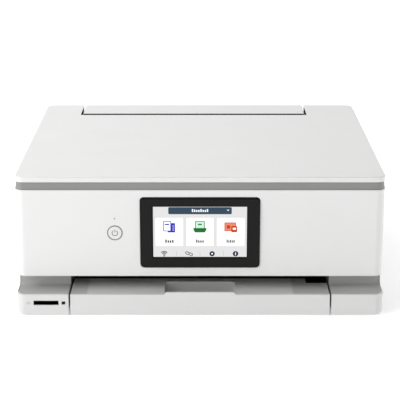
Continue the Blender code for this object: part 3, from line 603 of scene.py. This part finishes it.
def smooth(obj):
    """Smooth shading that leaves flat faces flat and sharp corners sharp."""
    obj.data.shade_smooth()
    obj.data.set_sharp_from_angle(angle=SMOOTH_ANGLE)
    weighted = obj.modifiers.new("normals", "WEIGHTED_NORMAL")
    weighted.keep_sharp = True
    weighted.weight = 90
    settle(obj)


def finish_piece(obj, material, body, nodes=()):
    obj.data.materials.clear()
    obj.data.materials.append(material)
    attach(obj, body)
    if nodes:
        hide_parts(*nodes)
    return obj


def from_cad(node):
    """A new object with a CAD node's shape, its flat faces merged and ready for softer edges."""
    bm = bmesh.new()
    bm.from_mesh(frame["nodes"][node].data)
    bmesh.ops.remove_doubles(bm, verts=bm.verts, dist=1e-6)
    bmesh.ops.dissolve_limit(bm, angle_limit=math.radians(0.6), verts=bm.verts, edges=bm.edges)
    return link_mesh(node + "_skin", bm, 1.0)


def body_of(node):
    return frame["nodes"][node]["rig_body"]


def skin(node, material, edge, cuts=(), segments=3):
    """The CAD shape with cut details and softened edges."""
    obj = from_cad(node)
    for bm in cuts:
        carve(obj, bm)
    soften(obj, edge, segments)
    return finish_piece(obj, material, body_of(node), [node])


def detail(name, node, material, slot, shapes, edge=0.0):
    """A small scene-only piece that rides with a CAD node's body."""
    obj = link_mesh(name, joined(shapes))
    if edge:
        soften(obj, edge, 2)
    else:
        smooth(obj)
    return finish_piece(obj, material, body_of(node))


# ---- camera, light and floor


def make_camera():
    data = bpy.data.cameras.new("camera")
    data.lens = CAMERA_LENS
    data.sensor_width = 36.0
    camera = bpy.data.objects.new("camera", data)
    camera.location = CAMERA_PLACE
    camera.rotation_euler = (CAMERA_TILT, 0.0, 0.0)
    bpy.context.scene.collection.objects.link(camera)
    bpy.context.scene.camera = camera


def area_light(name, place_at, target, size, power):
    data = bpy.data.lights.new(name, "AREA")
    data.shape = "SQUARE"
    data.size = size
    data.energy = power
    light = bpy.data.objects.new(name, data)
    light.location = place_at
    aim = Vector(target) - Vector(place_at)
    light.rotation_euler = aim.to_track_quat("-Z", "Y").to_euler()
    bpy.context.scene.collection.objects.link(light)


def make_light():
    for name, place_at, size, power in LIGHTS:
        area_light(name, place_at, LIGHT_TARGET, size, power)
    world = bpy.data.worlds.new("studio")
    world.use_nodes = True
    background = world.node_tree.nodes["Background"]
    background.inputs["Color"].default_value = (1, 1, 1, 1)
    background.inputs["Strength"].default_value = WORLD_LIGHT
    bpy.context.scene.world = world


def make_floor():
    """A white floor, lit a little from within and more so far behind the printer."""
    bm = box((-8000, 8000), (-5000, 11000), (-20, 0))
    floor = link_mesh("studio_floor", bm)
    material, nodes, links = new_material("pale_floor")
    shader = nodes["Principled BSDF"]
    shader.inputs["Roughness"].default_value = 0.9
    patches = noise(nodes, links, 3)
    links.new(ramp(nodes, links, patches, (0.93,) * 3, (0.95,) * 3), shader.inputs["Base Color"])
    shader.inputs["Emission Color"].default_value = (1, 1, 1, 1)
    place = nodes.new("ShaderNodeTexCoord")
    distance = nodes.new("ShaderNodeVectorMath")
    distance.operation = "LENGTH"
    links.new(place.outputs["Object"], distance.inputs["Vector"])
    glow = nodes.new("ShaderNodeMapRange")
    glow.interpolation_type = "SMOOTHSTEP"
    glow.inputs["From Min"].default_value = GLOW_REACH[0]
    glow.inputs["From Max"].default_value = GLOW_REACH[1]
    glow.inputs["To Min"].default_value = FLOOR_GLOW
    glow.inputs["To Max"].default_value = FAR_FLOOR_GLOW
    links.new(distance.outputs["Value"], glow.inputs["Value"])
    links.new(glow.outputs["Result"], shader.inputs["Emission Strength"])
    floor.data.materials.append(material)


def studio():
    scene = bpy.context.scene
    scene.view_settings.view_transform = "Standard"
    scene.view_settings.look = "None"
    make_camera()
    make_light()
    make_floor()


# ---- casing


def casing():
    skin("document_cover", LID_WHITE, 0.5)
    seam_shade_strips()
    skin("rear_tray_cover", LID_WHITE, 0.15)
    skin("scanner_frame", RIM_GREY_SHADED, 0.12)
    skin("front_panel", WHITE, 0.35)
    for node in ("left_side_cover", "right_side_cover"):
        skin(node, SIDE_WHITE_SHADED, 0.3)
    for node in ("left_wing_cover", "right_wing_cover"):
        skin(node, LOWER_WHITE_SHADED, 0.5)
    for node in ("left_ledge", "right_ledge"):
        skin(node, LEDGE_GREY, 0.4)
    skin("cassette_cover", LOWER_WHITE_SHADED, 0.5)
    skin("cassette_ledge", CASSETTE_GREY, 0.4)
    skin("power_button", WHITE, 0.3)
    skin("touch_panel_frame", BLACK_GLOSS, 0.5)
    skin("touch_screen", SCREEN_LIGHT, 0.2)
    screen_edge_shade()
    screen_picture()
    power_mark()
    small_marks()


def seam_shade_strips():
    """Near-black matt strips on the hatch's front edge and on the side walls of the lid's notch, painted
    shade that darkens the seams.
    """
    x, y, z = spans("rear_tray_cover")
    support_x, _, support_z = spans("paper_support")
    low = spans("document_cover")[2][0] + SHADE_STRIP_LIFT
    top = z[1] + SHADE_STRIP_PROUD
    left, right = widen(x, -SHADE_STRIP_INSET)
    slot = widen(support_x, SUPPORT_SPARE[0])
    reach = shifted(y[0], SHADE_STRIP_REACH)
    front = [
        box((left, slot[0]), reach, (low, top)),
        box(slot, reach, (support_z[1] + SUPPORT_SPARE[1], top)),
        box((slot[1], right), reach, (low, top)),
    ]
    detail("hatch_seam_painted_shade", "rear_tray_cover", SHADE_BLACK, "dark_plastic", front)
    walls = []
    for wall, inward in ((x[0] - HATCH_GAP, 1), (x[1] + HATCH_GAP, -1)):
        thickness = sorted(wall + inward * step for step in NOTCH_SHADE_X)
        walls.append(box(thickness, shifted(y[0], NOTCH_SHADE_Y), (low, z[1] - NOTCH_SHADE_DROP)))
    detail("notch_seam_painted_shade", "document_cover", SHADE_BLACK, "dark_plastic", walls)


def screen_edge_shade():
    """A matt black strip in the frame's opening, above the screen and at both its sides: painted shade on
    the frame's inner edge.
    """
    x, y, z = spans("touch_screen")
    depth = shifted(y[0], SCREEN_SHADE_Y)
    near, far = SCREEN_SHADE_REACH
    top = z[1] + far
    strips = [
        box(widen(x, far), depth, (z[1] + near, top)),
        box((x[0] - far, x[0] - near), depth, (z[0], top)),
        box((x[1] + near, x[1] + far), depth, (z[0], top)),
    ]
    detail("screen_edge_shade", "touch_panel_frame", SHADE_BLACK, "dark_plastic", strips)


# ---- screen picture


def screen_picture():
    screen_header()
    screen_cards()
    copy_icon(UI_CARD_X[0])
    scan_icon(UI_CARD_X[1])
    print_icon(UI_CARD_X[2])
    screen_footer()


def layer(name, material, level, outlines):
    """Flat shapes on the screen; a higher level lies further forward."""
    front = spans("touch_screen")[1][0]
    depth = (front - UI_STEP * level, front + 0.02)
    detail(name, "touch_screen", material, "screen", [prism(outline, depth, "Y") for outline in outlines])


def frame_outline(x, z, width, radius):
    """Four bars that border a rectangle."""
    bars = [(x, (z[0], z[0] + width)), (x, (z[1] - width, z[1]))]
    bars += [((x[0], x[0] + width), z), ((x[1] - width, x[1]), z)]
    return [rounded(bar_x, bar_z, radius, 2) for bar_x, bar_z in bars]


def text_bar(centre, width, z, height):
    """A bar with round ends that stands for a line of text."""
    return rounded(about(centre, width), about(z, height), height * 0.4, 2)


def blocks(centre, z, heights, width):
    """A row of upright blocks that stands for a word."""
    pitch = width / len(heights)
    low = z - max(heights) / 2
    row = []
    for i, height in enumerate(heights):
        x = centre - width / 2 + (i + 0.5) * pitch
        row.append(rounded(about(x, pitch * UI_BLOCK_FILL), (low, low + height), 0.3, 2))
    return row


def tilted(outline, centre, degrees):
    """An outline turned about a centre."""
    cos, sin = math.cos(math.radians(degrees)), math.sin(math.radians(degrees))
    points = [(x - centre[0], z - centre[1]) for x, z in outline]
    return [(centre[0] + x * cos - z * sin, centre[1] + x * sin + z * cos) for x, z in points]


def screen_header():
    """The title bar, its words and the arrow at its right end."""
    top = spans("touch_screen")[2][1]
    layer("ui_header", UI_SLATE, 1, [rounded(UI_HEADER_X, (UI_HEADER_LOW, top - 0.4), 1.2, 4)])
    title = blocks(0.0, UI_TITLE_Z, UI_TITLE, UI_TITLE_WIDTH)
    layer("ui_header_text", UI_WHITE, 2, title + [UI_CHEVRON])


def screen_cards():
    """White cards, each with a thin border and a word."""
    cards = [about(x, UI_CARD_WIDTH) for x in UI_CARD_X]
    border_z = widen(UI_CARD_Z, UI_BORDER)
    layer("ui_cards_edge", UI_LINE, 1, [rounded(widen(card, UI_BORDER), border_z, 1.4, 4) for card in cards])
    layer("ui_cards", UI_WHITE, 2, [rounded(card, UI_CARD_Z, 1.1, 4) for card in cards])
    words = []
    for x, (heights, width) in zip(UI_CARD_X, UI_WORDS):
        words += blocks(x, UI_LABEL_Z, heights, width)
    layer("ui_labels", UI_INK, 3, words)


def copy_icon(x):
    """Two sheets, the front one with a heading and lines of text."""
    layer("ui_copy_back", UI_BLUE, 3, [rounded((x - 1.6, x + 5.8), (84.0, 93.8), 0.5, 2)])
    layer("ui_copy_page", UI_WHITE, 4, [rounded((x - 6.0, x + 1.6), (85.4, 95.6), 0.5, 2)])
    border = frame_outline((x - 6.2, x + 1.8), (85.2, 95.8), 0.7, 0.2)
    layer("ui_copy_edge", UI_BLUE, 5, border + [text_bar(x - 2.4, 4.6, 92.4, 1.3)])
    lines = [text_bar(x - 2.4, 4.6, 89.6, 0.7), text_bar(x - 2.8, 3.8, 87.7, 0.7)]
    lines += [text_bar(x + 3.9, 1.7, z, 0.9) for z in (86.4, 88.6, 90.8)]
    layer("ui_copy_text", UI_PALE_BLUE, 5, lines)


def scan_icon(x):
    """A sheet that stands in a tray."""
    layer("ui_scan_page", UI_MINT, 3, [rounded((x - 4.6, x + 4.6), (87.4, 95.6), 0.5, 2)])
    border = frame_outline((x - 4.9, x + 4.9), (87.2, 95.9), 0.7, 0.2)
    tray = [(x - 6.6, 88.6), (x + 6.6, 88.6), (x + 6.6, 87.0)]
    tray += [(x + 5.0, 84.0), (x - 5.0, 84.0), (x - 6.6, 87.0)]
    layer("ui_scan_edge", UI_GREEN, 4, border + [tray, text_bar(x, 4.2, 92.4, 1.4)])


def print_icon(x):
    """A picture with a round sun and a tag on its lower corner."""
    layer("ui_print_picture", UI_PEACH, 3, [rounded((x - 6.0, x + 5.0), (85.6, 94.2), 0.8, 3)])
    border = frame_outline((x - 6.3, x + 5.3), (85.3, 94.5), 0.6, 0.2)
    sun = circle((x - 2.2, 89.8), 2.0, 24)
    tag = rounded((x + 0.6, x + 6.6), (84.2, 90.8), 1.2, 3)
    layer("ui_print_edge", UI_ORANGE, 4, border + [sun, tag])
    layer("ui_print_mark", UI_WHITE, 5, [rounded((x + 2.1, x + 5.4), (86.8, 89.0), 0.5, 2)])


def screen_footer():
    """Four small signs with dividers between them: waves, a pair of links and two dots."""
    layer("ui_separators", UI_LINE, 1, [rounded(about(x, 0.6), UI_DIVIDER_Z, 0.15, 2) for x in UI_DIVIDER_X])
    fan = (UI_FOOT_X[0], UI_FAN_Z)
    waves = [ring(fan, radius, 0.95, 47, 133, 10) for radius in (1.8, 3.2, 4.6)]
    layer("ui_foot_grey", UI_GREY, 1, waves + [circle(fan, 0.8, 14)])
    for level, shift in ((1, -1.7), (3, 1.7)):
        chain_link(level, (UI_FOOT_X[1] + shift, UI_FOOT_Z - 0.35 * shift))
    dots = [circle((UI_FOOT_X[2], UI_FOOT_Z), 2.7, 28), circle((UI_FOOT_X[3], UI_FOOT_Z), 2.8, 28)]
    layer("ui_foot_dark", UI_NAVY, 1, dots)
    hub = circle((UI_FOOT_X[2], UI_FOOT_Z), 0.85, 18)
    stroke = rounded(about(UI_FOOT_X[3], 0.8), (59.7, 62.6), 0.2, 2)
    layer("ui_foot_light", UI_WHITE, 2, [hub, stroke])


def chain_link(level, centre):
    """A tilted link with its hole, drawn in the screen's own colour."""
    x, z = centre
    outer = rounded(about(x, 4.6), about(z, 3.2), 1.5, 4)
    hole = rounded(about(x, 3.0), about(z, 1.6), 0.7, 4)
    layer(f"ui_link_{level}", UI_GREY, level, [tilted(outer, centre, -30)])
    layer(f"ui_link_hole_{level}", SCREEN_LIGHT, level + 1, [tilted(hole, centre, -30)])


# ---- marks on the front


def power_mark():
    """The usual on/off sign on the power button and a grey ring round it."""
    x, y, z = spans("power_button")
    centre = (middle(x), middle(z))
    sign = ring(centre, POWER_SIGN_RADIUS, 0.85, -235, 55, 24)
    stroke = rounded(about(centre[0], 0.84), shifted(centre[1], (0.4, 3.6)), 0.3, 2)
    depth = shifted(y[0], (-0.06, 0.04))
    signs = [prism(outline, depth, "Y") for outline in (sign, stroke)]
    detail("power_sign", "power_button", MARK_GREY, "grey_plastic", signs)
    front = shifted(spans("front_panel")[1][0], PRINT_Y)
    rim = [prism(ring(centre, POWER_RING_RADIUS, 1.1), front, "Y")]
    detail("power_ring", "front_panel", MARK_GREY, "grey_plastic", rim)


def small_marks():
    """The unlit status light, and the outline of a card level with the card slot."""
    front = shifted(spans("front_panel")[1][0], PRINT_Y)
    light = discs([STATUS_LIGHT], 0.75, front, "Y", 16)
    detail("status_light", "front_panel", MARK_GREY, "grey_plastic", light)
    wing = spans("left_wing_cover")[1][0]
    left, right = CARD_SIGN_X
    low, high = about(middle(spans("card_slot")[2]), CARD_SIGN_HEIGHT)
    corner = [(left + CARD_SIGN_CORNER, high), (left, high - CARD_SIGN_CORNER)]
    card = prism([(left, low), (right, low), (right, high)] + corner, (wing - 0.04, wing + 0.1), "Y")
    detail("card_sign", "left_wing_cover", FAINT_GREY, "grey_plastic", [card])


# ---- scanner unit


def lid_underside():
    """Ribs round the white pad, the rubber stops and the pad's white sheet."""
    x, y, _ = spans("document_cover")
    pad_x, pad_y, pad_z = spans("document_pad")
    rib_z = (pad_z[0] + 0.9, pad_z[1] + 0.2)
    inner_x = widen(x, -LID_MARGIN)
    front_y = (y[0] + LID_MARGIN, pad_y[0] - 1.0)
    left, right = widen(inner_x, -12)
    ribs = ribs_at_x(rows(left, right, 16), RIB_WIDTH, front_y, rib_z)
    for side_x in ((inner_x[0], pad_x[0] - 1.0), (pad_x[1] + 1.0, inner_x[1])):
        ribs += ribs_at_y(rows(pad_y[0] + 4, pad_y[1] - 4, 12), RIB_WIDTH, side_x, rib_z)
    ribs.append(box(inner_x, shifted(front_y[0], (6.0, 7.0)), rib_z))
    detail("lid_ribs", "document_cover", LID_WHITE, "white_plastic", ribs)
    places = [(cx, cy) for cx in widen(x, -8) for cy in shifted(y[0], (8, 250))]
    stops = discs(places, LID_STOP_RADIUS, (pad_z[0] + 0.1, pad_z[1] + 0.2), "Z", 20)
    detail("lid_stops", "document_cover", RUBBER, "rubber", stops, 0.4)
    outline = rounded(widen(pad_x, -PAD_BORDER), widen(pad_y, -PAD_BORDER), 4.0)
    sheet = prism(outline, shifted(pad_z[0], (-0.05, 0.2)), "Z")
    detail("pad_sheet", "document_pad", PAD, "pad_white", [sheet])


def bed_marks():
    """Size marks and the start corner's arrow beside the glass, and the white strip under its edge."""
    x, y, z = spans("platen_glass")
    mark_z = shifted(z[1] + 0.6, (-0.25, 0.05))
    right = x[1] + 3.0
    marks = ribs_at_y(rows(y[0] + 6, y[1] - 6, 5), MARK_WIDTH, (right, right + 4.0), mark_z)
    marks += ribs_at_x(rows(x[0] + 6, x[1] - 6, 7), MARK_WIDTH, shifted(y[0], (-7.0, -3.0)), mark_z)
    front, back = shifted(y[0], (-2.0, 5.0))
    arrow = [(right + 1.0, front), (right + 8.0, front), (right + 1.0, back)]
    marks.append(prism(arrow, mark_z, "Z"))
    detail("bed_marks", "scanner_frame", WHITE, "white_plastic", marks)
    strip = box(shifted(x[0], (5.5, 11.0)), widen(y, -6.0), shifted(z[0], (-0.5, -0.1)))
    detail("white_reference", "scanner_frame", PAD, "pad_white", [strip])


def tub_details():
    """Floor ribs, the image sensor's guide rod and its belt."""
    x, y, z = spans("scanner_tub")
    floor = z[0] + TUB_FLOOR
    rib_z = (floor, floor + TUB_RIB)
    ribs = ribs_at_x(rows(x[0] + 18, x[1] - 18, 12), 1.2, widen(y, -3.0), rib_z)
    ribs += ribs_at_y(rows(y[0] + 20, y[1] - 20, 7), 1.2, widen(x, -3.0), rib_z)
    detail("tub_ribs", "scanner_tub", DARK, "dark_plastic", ribs)
    rod_y, rod_lift, rod_radius = SENSOR_ROD
    rod = discs([(rod_y, floor + rod_lift)], rod_radius, widen(x, -6.0), "X", 20)
    detail("sensor_guide_rod", "scanner_tub", STEEL, "steel", rod)
    belt = box(widen(x, -10.0), SENSOR_BELT_Y, shifted(floor, (0.4, 3.4)))
    detail("sensor_belt", "scanner_tub", RUBBER, "rubber", [belt])


def sensor_details():
    """The rod lens, the light guide and the spacers on the image sensor's bar."""
    x, y, z = spans("image_sensor")
    length = widen(y, -5.0)
    lens = box(shifted(x[0], (4.6, 6.4)), length, shifted(z[1], (-0.1, 0.15)))
    guide = box(shifted(x[0], (7.6, 10.2)), length, shifted(z[1], (-0.1, 0.12)))
    detail("sensor_lenses", "image_sensor", LAMP, "lamp", [lens])
    detail("sensor_light", "image_sensor", PAD, "pad_white", [guide])
    spacers = ribs_at_y(widen(y, -6), 6, shifted(x[0], (1.0, 4.0)), shifted(z[1], (-0.1, 0.7)))
    detail("sensor_spacers", "image_sensor", MARK_GREY, "grey_plastic", spacers)


# ---- rear tray and back


def on_slope(along, above):
    """A (Y, Z) point at a distance along the bed from its foot and above its upper face."""
    rise = Vector(SLOPE_RISE).normalized()
    up = Vector((-rise.y, rise.x))
    foot = Vector(SLOPE_FOOT) + up * BED_THICK
    return tuple(foot + rise * along + up * above)


def slope_band(low, high, under, over):
    """The side outline of a straight strip that lies on the bed."""
    return [on_slope(low, under), on_slope(high, under), on_slope(high, over), on_slope(low, over)]


def rear_tray():
    """Ribs and a rubber pad on the bed, grips on its guides, ridges on the support, ribs in the hatch."""
    rib = [on_slope(38, -0.2), on_slope(123, -0.2), on_slope(121, 0.45), on_slope(40, 0.45)]
    detail("bed_ribs", "rear_tray_bed", GREY, "grey_plastic", slices(rib, rows(*BED_RIB_X, 11), 1.4))
    pad = prism(slope_band(8, 24, -0.1, 1.0), BED_PAD_X, "X")
    detail("bed_pad", "rear_tray_bed", RUBBER, "rubber", [pad], 0.3)
    for side, name in ((-1, "rear_guide_left"), (1, "rear_guide_right")):
        grip_x = sorted(side * x for x in REAR_GRIP_X)
        grip = [prism(slope_band(start, start + 1.2, 1.9, 2.6), grip_x, "X") for start in GRIP_ALONG]
        detail(name + "_grip", name, GREY, "grey_plastic", grip)

    x, y, z = spans("paper_support")
    across = widen(x, -8.0)
    ridge_z = (z[0] - 0.15, z[0] + 0.2)
    ridges = [box(across, (front, front + 1.0), ridge_z) for front in rows(y[0] + 6, y[1] - 12, 5)]
    detail("support_ridges", "paper_support", GREY, "grey_plastic", ridges)
    x, y, z = spans("rear_tray_cover")
    places = rows(x[0] + 12, x[0] + 58, 4) + rows(x[1] - 52, x[1] - 12, 4)
    ribs = ribs_at_x(places, RIB_WIDTH, shifted(y[0], (3.0, 40.0)), shifted(z[1], (-2.6, -1.8)))
    detail("hatch_ribs", "rear_tray_cover", LID_WHITE, "white_plastic", ribs)


def screw(centre, face, reach, axis):
    """A pan-head screw: a domed head that stands out from face by reach."""
    rings = [
        (circle(centre, SCREW_RADIUS, 24), face),
        (circle(centre, SCREW_RADIUS * 0.92, 24), face + reach * 0.7),
        (circle(centre, SCREW_RADIUS * 0.6, 24), face + reach),
    ]
    return stack(rings, axis)


def back_details():
    """Louvres with a dark backing, screws in wells and a blank rating plate."""
    back = spans("rear_cover")[1][1]
    louvres = []
    backings = []
    for x, count, z in LOUVRES:
        louvres += ribs_at_x(rows(*x, count), LOUVRE_WIDTH, (back - 3.5, back + 1), z)
        backings.append(box(widen(x, 3.0), (back - 4.6, back - 3.4), widen(z, 2.0)))
    wells = discs(BACK_SCREWS, 3.8, (back - 1.6, back + 1), "Y", 28)
    cuts = [joined(louvres), joined(wells)]
    skin("rear_cover", WHITE, 0.35, cuts=cuts, segments=2)
    detail("louvre_backing", "rear_cover", DARK, "dark_plastic", backings)
    heads = [screw(centre, back - 1.7, 1.3, "Y") for centre in BACK_SCREWS]
    detail("back_screws", "rear_cover", STEEL, "steel", heads)
    plate = prism(rounded(PLATE_X, PLATE_Z, 1.5), (back - 0.05, back + 0.12), "Y")
    detail("blank_rating_plate", "rear_cover", FAINT_GREY, "grey_plastic", [plate])


def socket_details():
    """Two pins in the power inlet and the tongue in the USB socket."""
    x, y, z = spans("power_inlet")
    places = [(middle(x) + side, middle(z)) for side in (-4.3, 4.3)]
    pins = discs(places, 1.15, (y[1] - 11.0, y[1] - 2.2), "Y", 20)
    detail("inlet_pins", "power_inlet", STEEL, "steel", pins, 0.3)
    x, y, z = spans("usb_port")
    tongue = box(about(middle(x), 5.6), (y[1] - 9.0, y[1] - 1.0), about(middle(z), 3.2))
    detail("usb_tongue", "usb_port", DARK, "dark_plastic", [tongue], 0.15)


# ---- print engine


def toothed(centre, radius, teeth, depth):
    """A timing pulley's outline."""
    points = []
    for i in range(teeth):
        for part, reach in ((0.0, 0), (0.3, 0), (0.5, -depth), (0.8, -depth)):
            angle = 2 * math.pi * (i + part) / teeth
            u = centre[0] + (radius + reach) * math.cos(angle)
            v = centre[1] + (radius + reach) * math.sin(angle)
            points.append((u, v))
    return points


def roller_pieces(node, axle, sizes):
    """A steel shaft with rubber tyres and a toothed drive pulley, in place of the plain turned roller."""
    radius, shaft, pulley, count, width = sizes
    left, right = spans(node)[0]
    shaft_piece = discs([axle], shaft, (left + 5.2, right), "X", 32)
    detail(node + "_shaft", node, STEEL, "steel", shaft_piece, 0.3)
    wheel = prism(toothed(axle, pulley, 30, 0.6), (left, left + 5.0), "X")
    detail(node + "_pulley", node, DARK, "dark_plastic", [wheel])
    half = ROLLER_HALF - width / 2
    tyres = slices(circle(axle, radius, 40), rows(-half, half, count), width)
    obj = detail(node + "_tyres", node, RUBBER, "rubber", tyres, 0.4)
    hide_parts(node)


def platen_details():
    """Ribs before and behind the foam strip of the print platen."""
    _, y, z = spans("print_platen")
    rib_z = shifted(z[1], (-0.2, 0.7))
    places = rows(*PLATEN_RIB_X, 18)
    front, back = widen(PLATEN_FOAM_Y, 2.0)
    ribs = ribs_at_x(places, RIB_WIDTH, (y[0] + 1.0, front), rib_z)
    ribs += ribs_at_x(places, RIB_WIDTH, (back, y[1] - 1.0), rib_z)
    detail("platen_ribs", "print_platen", DARK, "dark_plastic", ribs)
    foam = box(PLATEN_FOAM_X, PLATEN_FOAM_Y, shifted(z[0], (3.4, 5.2)))
    detail("platen_foam", "print_platen", MARK_GREY, "grey_plastic", [foam], 0.4)


def star_wheels():
    """Thin toothed wheels over the output roller, and the bar that holds them."""
    places = rows(*STAR_X, 9)
    stars = slices(toothed(STAR_AXLE, 3.1, 14, 0.7), places, 0.5)
    detail("star_wheels", "print_platen", STEEL, "steel", stars)
    holder = [box(*STAR_BAR)]
    holder += ribs_at_x(places, 4.4, STAR_STEM_Y, STAR_STEM_Z)
    detail("star_wheel_bar", "print_platen", DARK, "dark_plastic", holder, 0.2)


def belt_pulley(name):
    """A toothed wheel between two flanges, on a steel axle."""
    x, y, z = spans(name)
    centre = (middle(x), middle(y))
    low, tooth_low, tooth_high, high = PULLEY_Z
    wheel = [prism(toothed(centre, 6.0, 20, 0.5), (tooth_low, tooth_high), "Z")]
    for flange_z in ((low, tooth_low), (tooth_high, high)):
        wheel += discs([centre], 6.25, flange_z, "Z", 36)
    obj = detail(name + "_wheel", name, DARK, "dark_plastic", wheel)
    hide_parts(name)
    detail(name + "_axle", name, STEEL, "steel", discs([centre], 2.5, z, "Z", 24), 0.3)


def ink_slot(node):
    return "ink_" + node[len("ink_tank_"):]


def tank_details(node):
    """A white label, three ridges to grip and a mark in the ink's colour."""
    x, y, z = spans(node)
    top = z[1] - 3.0
    label = box(widen(x, -2.0), shifted(y[0], (16.0, 52.0)), shifted(top, (-0.05, 0.12)))
    across = widen(x, -5.0)
    ridge_z = (z[1] - 0.2, z[1] + 0.35)
    ridges = [box(across, (y[0] + 2.0 + step, y[0] + 3.1 + step), ridge_z) for step in (0.0, 2.4, 4.8)]
    detail(node + "_label", node, PAD, "pad_white", [label])
    detail(node + "_grip", node, INKS[node], ink_slot(node), ridges, 0.1)
    mark = box(widen(x, -5.5), shifted(y[0], (20.0, 28.0)), shifted(top, (0.1, 0.2)))
    detail(node + "_colour_mark", node, INKS[node], ink_slot(node), [mark])


def carriage_details():
    """The encoder strip, both pulleys, the tanks and the print carriage's own details."""
    detail("encoder_strip", "carriage_rail", MARK_GREY, "grey_plastic", [box(*ENCODER_STRIP)])
    for name in ("idler_pulley", "motor_pulley"):
        belt_pulley(name)
    for node in INKS:
        tank_details(node)
    x, _, z = spans("print_carriage")
    side = (x[0] - 0.05, x[0] + 0.6)
    ribs = ribs_at_y(rows(*CARRIAGE_RIB_Y, 8), RIB_WIDTH, side, (z[0] + 6, z[1] - 6))
    detail("carriage_ribs", "print_carriage", DARK, "dark_plastic", ribs)
    nozzle = box(widen(x, -12.0), NOZZLES_Y, (z[0] - 0.9, z[0] + 0.2))
    detail("print_head_face", "print_carriage", STEEL, "steel", [nozzle], 0.3)


def ring_box(x, y, thick, z):
    """A rectangular frame of four bars."""
    return [
        box(x, (y[0], y[0] + thick), z),
        box(x, (y[1] - thick, y[1]), z),
        box((x[0], x[0] + thick), (y[0] + thick, y[1] - thick), z),
        box((x[1] - thick, x[1]), (y[0] + thick, y[1] - thick), z),
    ]


def purge_details():
    """Two rubber caps with a wiper blade between them."""
    top = spans("purge_unit")[2][1]
    rubber = []
    for cap_x in PURGE_CAPS:
        rubber += ring_box(cap_x, PURGE_CAP_Y, 1.6, (top - 3.6, top + 0.6))
    rubber.append(box(*PURGE_WIPER, (top - 1, top + 1.2)))
    detail("purge_caps", "purge_unit", RUBBER, "rubber", rubber, 0.2)


def board_details():
    """Capacitors and plugs on the logic board, and ribs on the power supply."""
    x, y, z = spans("logic_board")
    top = z[0] + PCB_THICK
    places = [(middle(x) + side, y[0] + 14) for side in CAN_X]
    cans = discs(places, 3.2, (top, top + 8.0), "Z", 20)
    detail("board_capacitors", "logic_board", STEEL, "steel", cans, 0.3)
    across = (x[0] + 3, x[0] + 9)
    plugs = [box(across, (front, front + 14), (top, top + 5.5)) for front in rows(y[0] + 30, y[1] - 40, 5)]
    detail("board_connectors", "logic_board", PAD, "pad_white", plugs, 0.2)
    x, y, z = spans("power_supply")
    rib_z = (z[1] - 0.6, z[1] + 0.25)
    ribs = [box(widen(x, -6), (front, front + 2.2), rib_z) for front in rows(y[0] + 20, y[1] - 30, 14)]
    detail("supply_ribs", "power_supply", DARK, "dark_plastic", ribs)


# ---- cassette and output tray


def cassette_details():
    """Ribs and a rubber pad on the cassette's floor, and grips on its paper guides."""
    _, y, z = spans("cassette_body")
    floor = z[0] + CASSETTE_FLOOR
    ribs = ribs_at_x(rows(*CASSETTE_RIB_X, 8), 1.2, (y[0] + 30, y[1] - 12), (floor, floor + 0.6))
    detail("cassette_ribs", "cassette_body", DARK, "dark_plastic", ribs)
    pad = box(CASSETTE_PAD_X, (y[1] - 40.0, y[1] - 10.0), (floor, floor + 1.0))
    detail("cassette_cork", "cassette_body", RUBBER, "rubber", [pad], 0.3)
    for side, name in ((-1, "cassette_guide_left"), (1, "cassette_guide_right")):
        across = sorted(side * x for x in CASSETTE_GRIP_X)
        grip = [box(across, (front, front + 1.2), CASSETTE_GRIP_Z) for front in rows(*CASSETTE_GRIP_Y, 5)]
        detail(name + "_grip", name, GREY, "grey_plastic", grip)


def output_tray_details():
    """Ribs under the paper and a low lip at the tray's front edge."""
    x, y, z = spans("output_tray")
    ribs = ribs_at_x(rows(*OUTPUT_RIB_X, 9), 1.6, (y[0] + 14, y[1] - 6), shifted(z[1], (-0.1, 0.45)))
    lip = box(widen(x, -60), (y[0], y[0] + 4.0), shifted(z[1], (-0.1, 1.2)))
    detail("output_tray_ribs", "output_tray", GREY, "grey_plastic", ribs + [lip], 0.15)


# ---- skins of the inside


def insides():
    for node in ("base_tray", "card_slot", "power_inlet", "power_supply", "panel_bay", "print_platen"):
        skin(node, DARK, 0.4)
    for node in ("purge_unit", "scanner_tub", "image_sensor", "cassette_body", "print_carriage"):
        skin(node, DARK, 0.4)
    for node in ("paper_support", "output_tray", "rear_tray_bed", "rear_guide_left", "rear_guide_right"):
        skin(node, GREY, 0.4)
    for node in ("cassette_guide_left", "cassette_guide_right"):
        skin(node, GREY, 0.4)
    for node in ("scanner_hinge_left", "scanner_hinge_right", "engine_frame", "carriage_rail", "usb_port"):
        skin(node, STEEL, 0.2)
    for node in ("carriage_motor", "feed_motor"):
        skin(node, STEEL, 0.6)
    for node in ("carriage_belt", "feed_belt"):
        skin(node, RUBBER, 0.2)
    for corner in ("front_left", "front_right", "rear_left", "rear_right"):
        skin("foot_" + corner, RUBBER, 0.5)
    skin("platen_glass", GLASS, 0.3)
    skin("document_pad", PAD, 0.5)
    skin("logic_board", BOARD, 0.1)
    skin("access_lamp", LAMP, 0.3)
    for node, material in INKS.items():
        skin(node, material, 0.4)


studio()
casing()
insides()
lid_underside()
bed_marks()
tub_details()
sensor_details()
rear_tray()
back_details()
socket_details()
roller_pieces("feed_roller", FEED_AXLE, FEED_ROLLER)
roller_pieces("output_roller", OUTPUT_AXLE, OUTPUT_ROLLER)
platen_details()
star_wheels()
carriage_details()
purge_details()
board_details()
cassette_details()
output_tray_details()
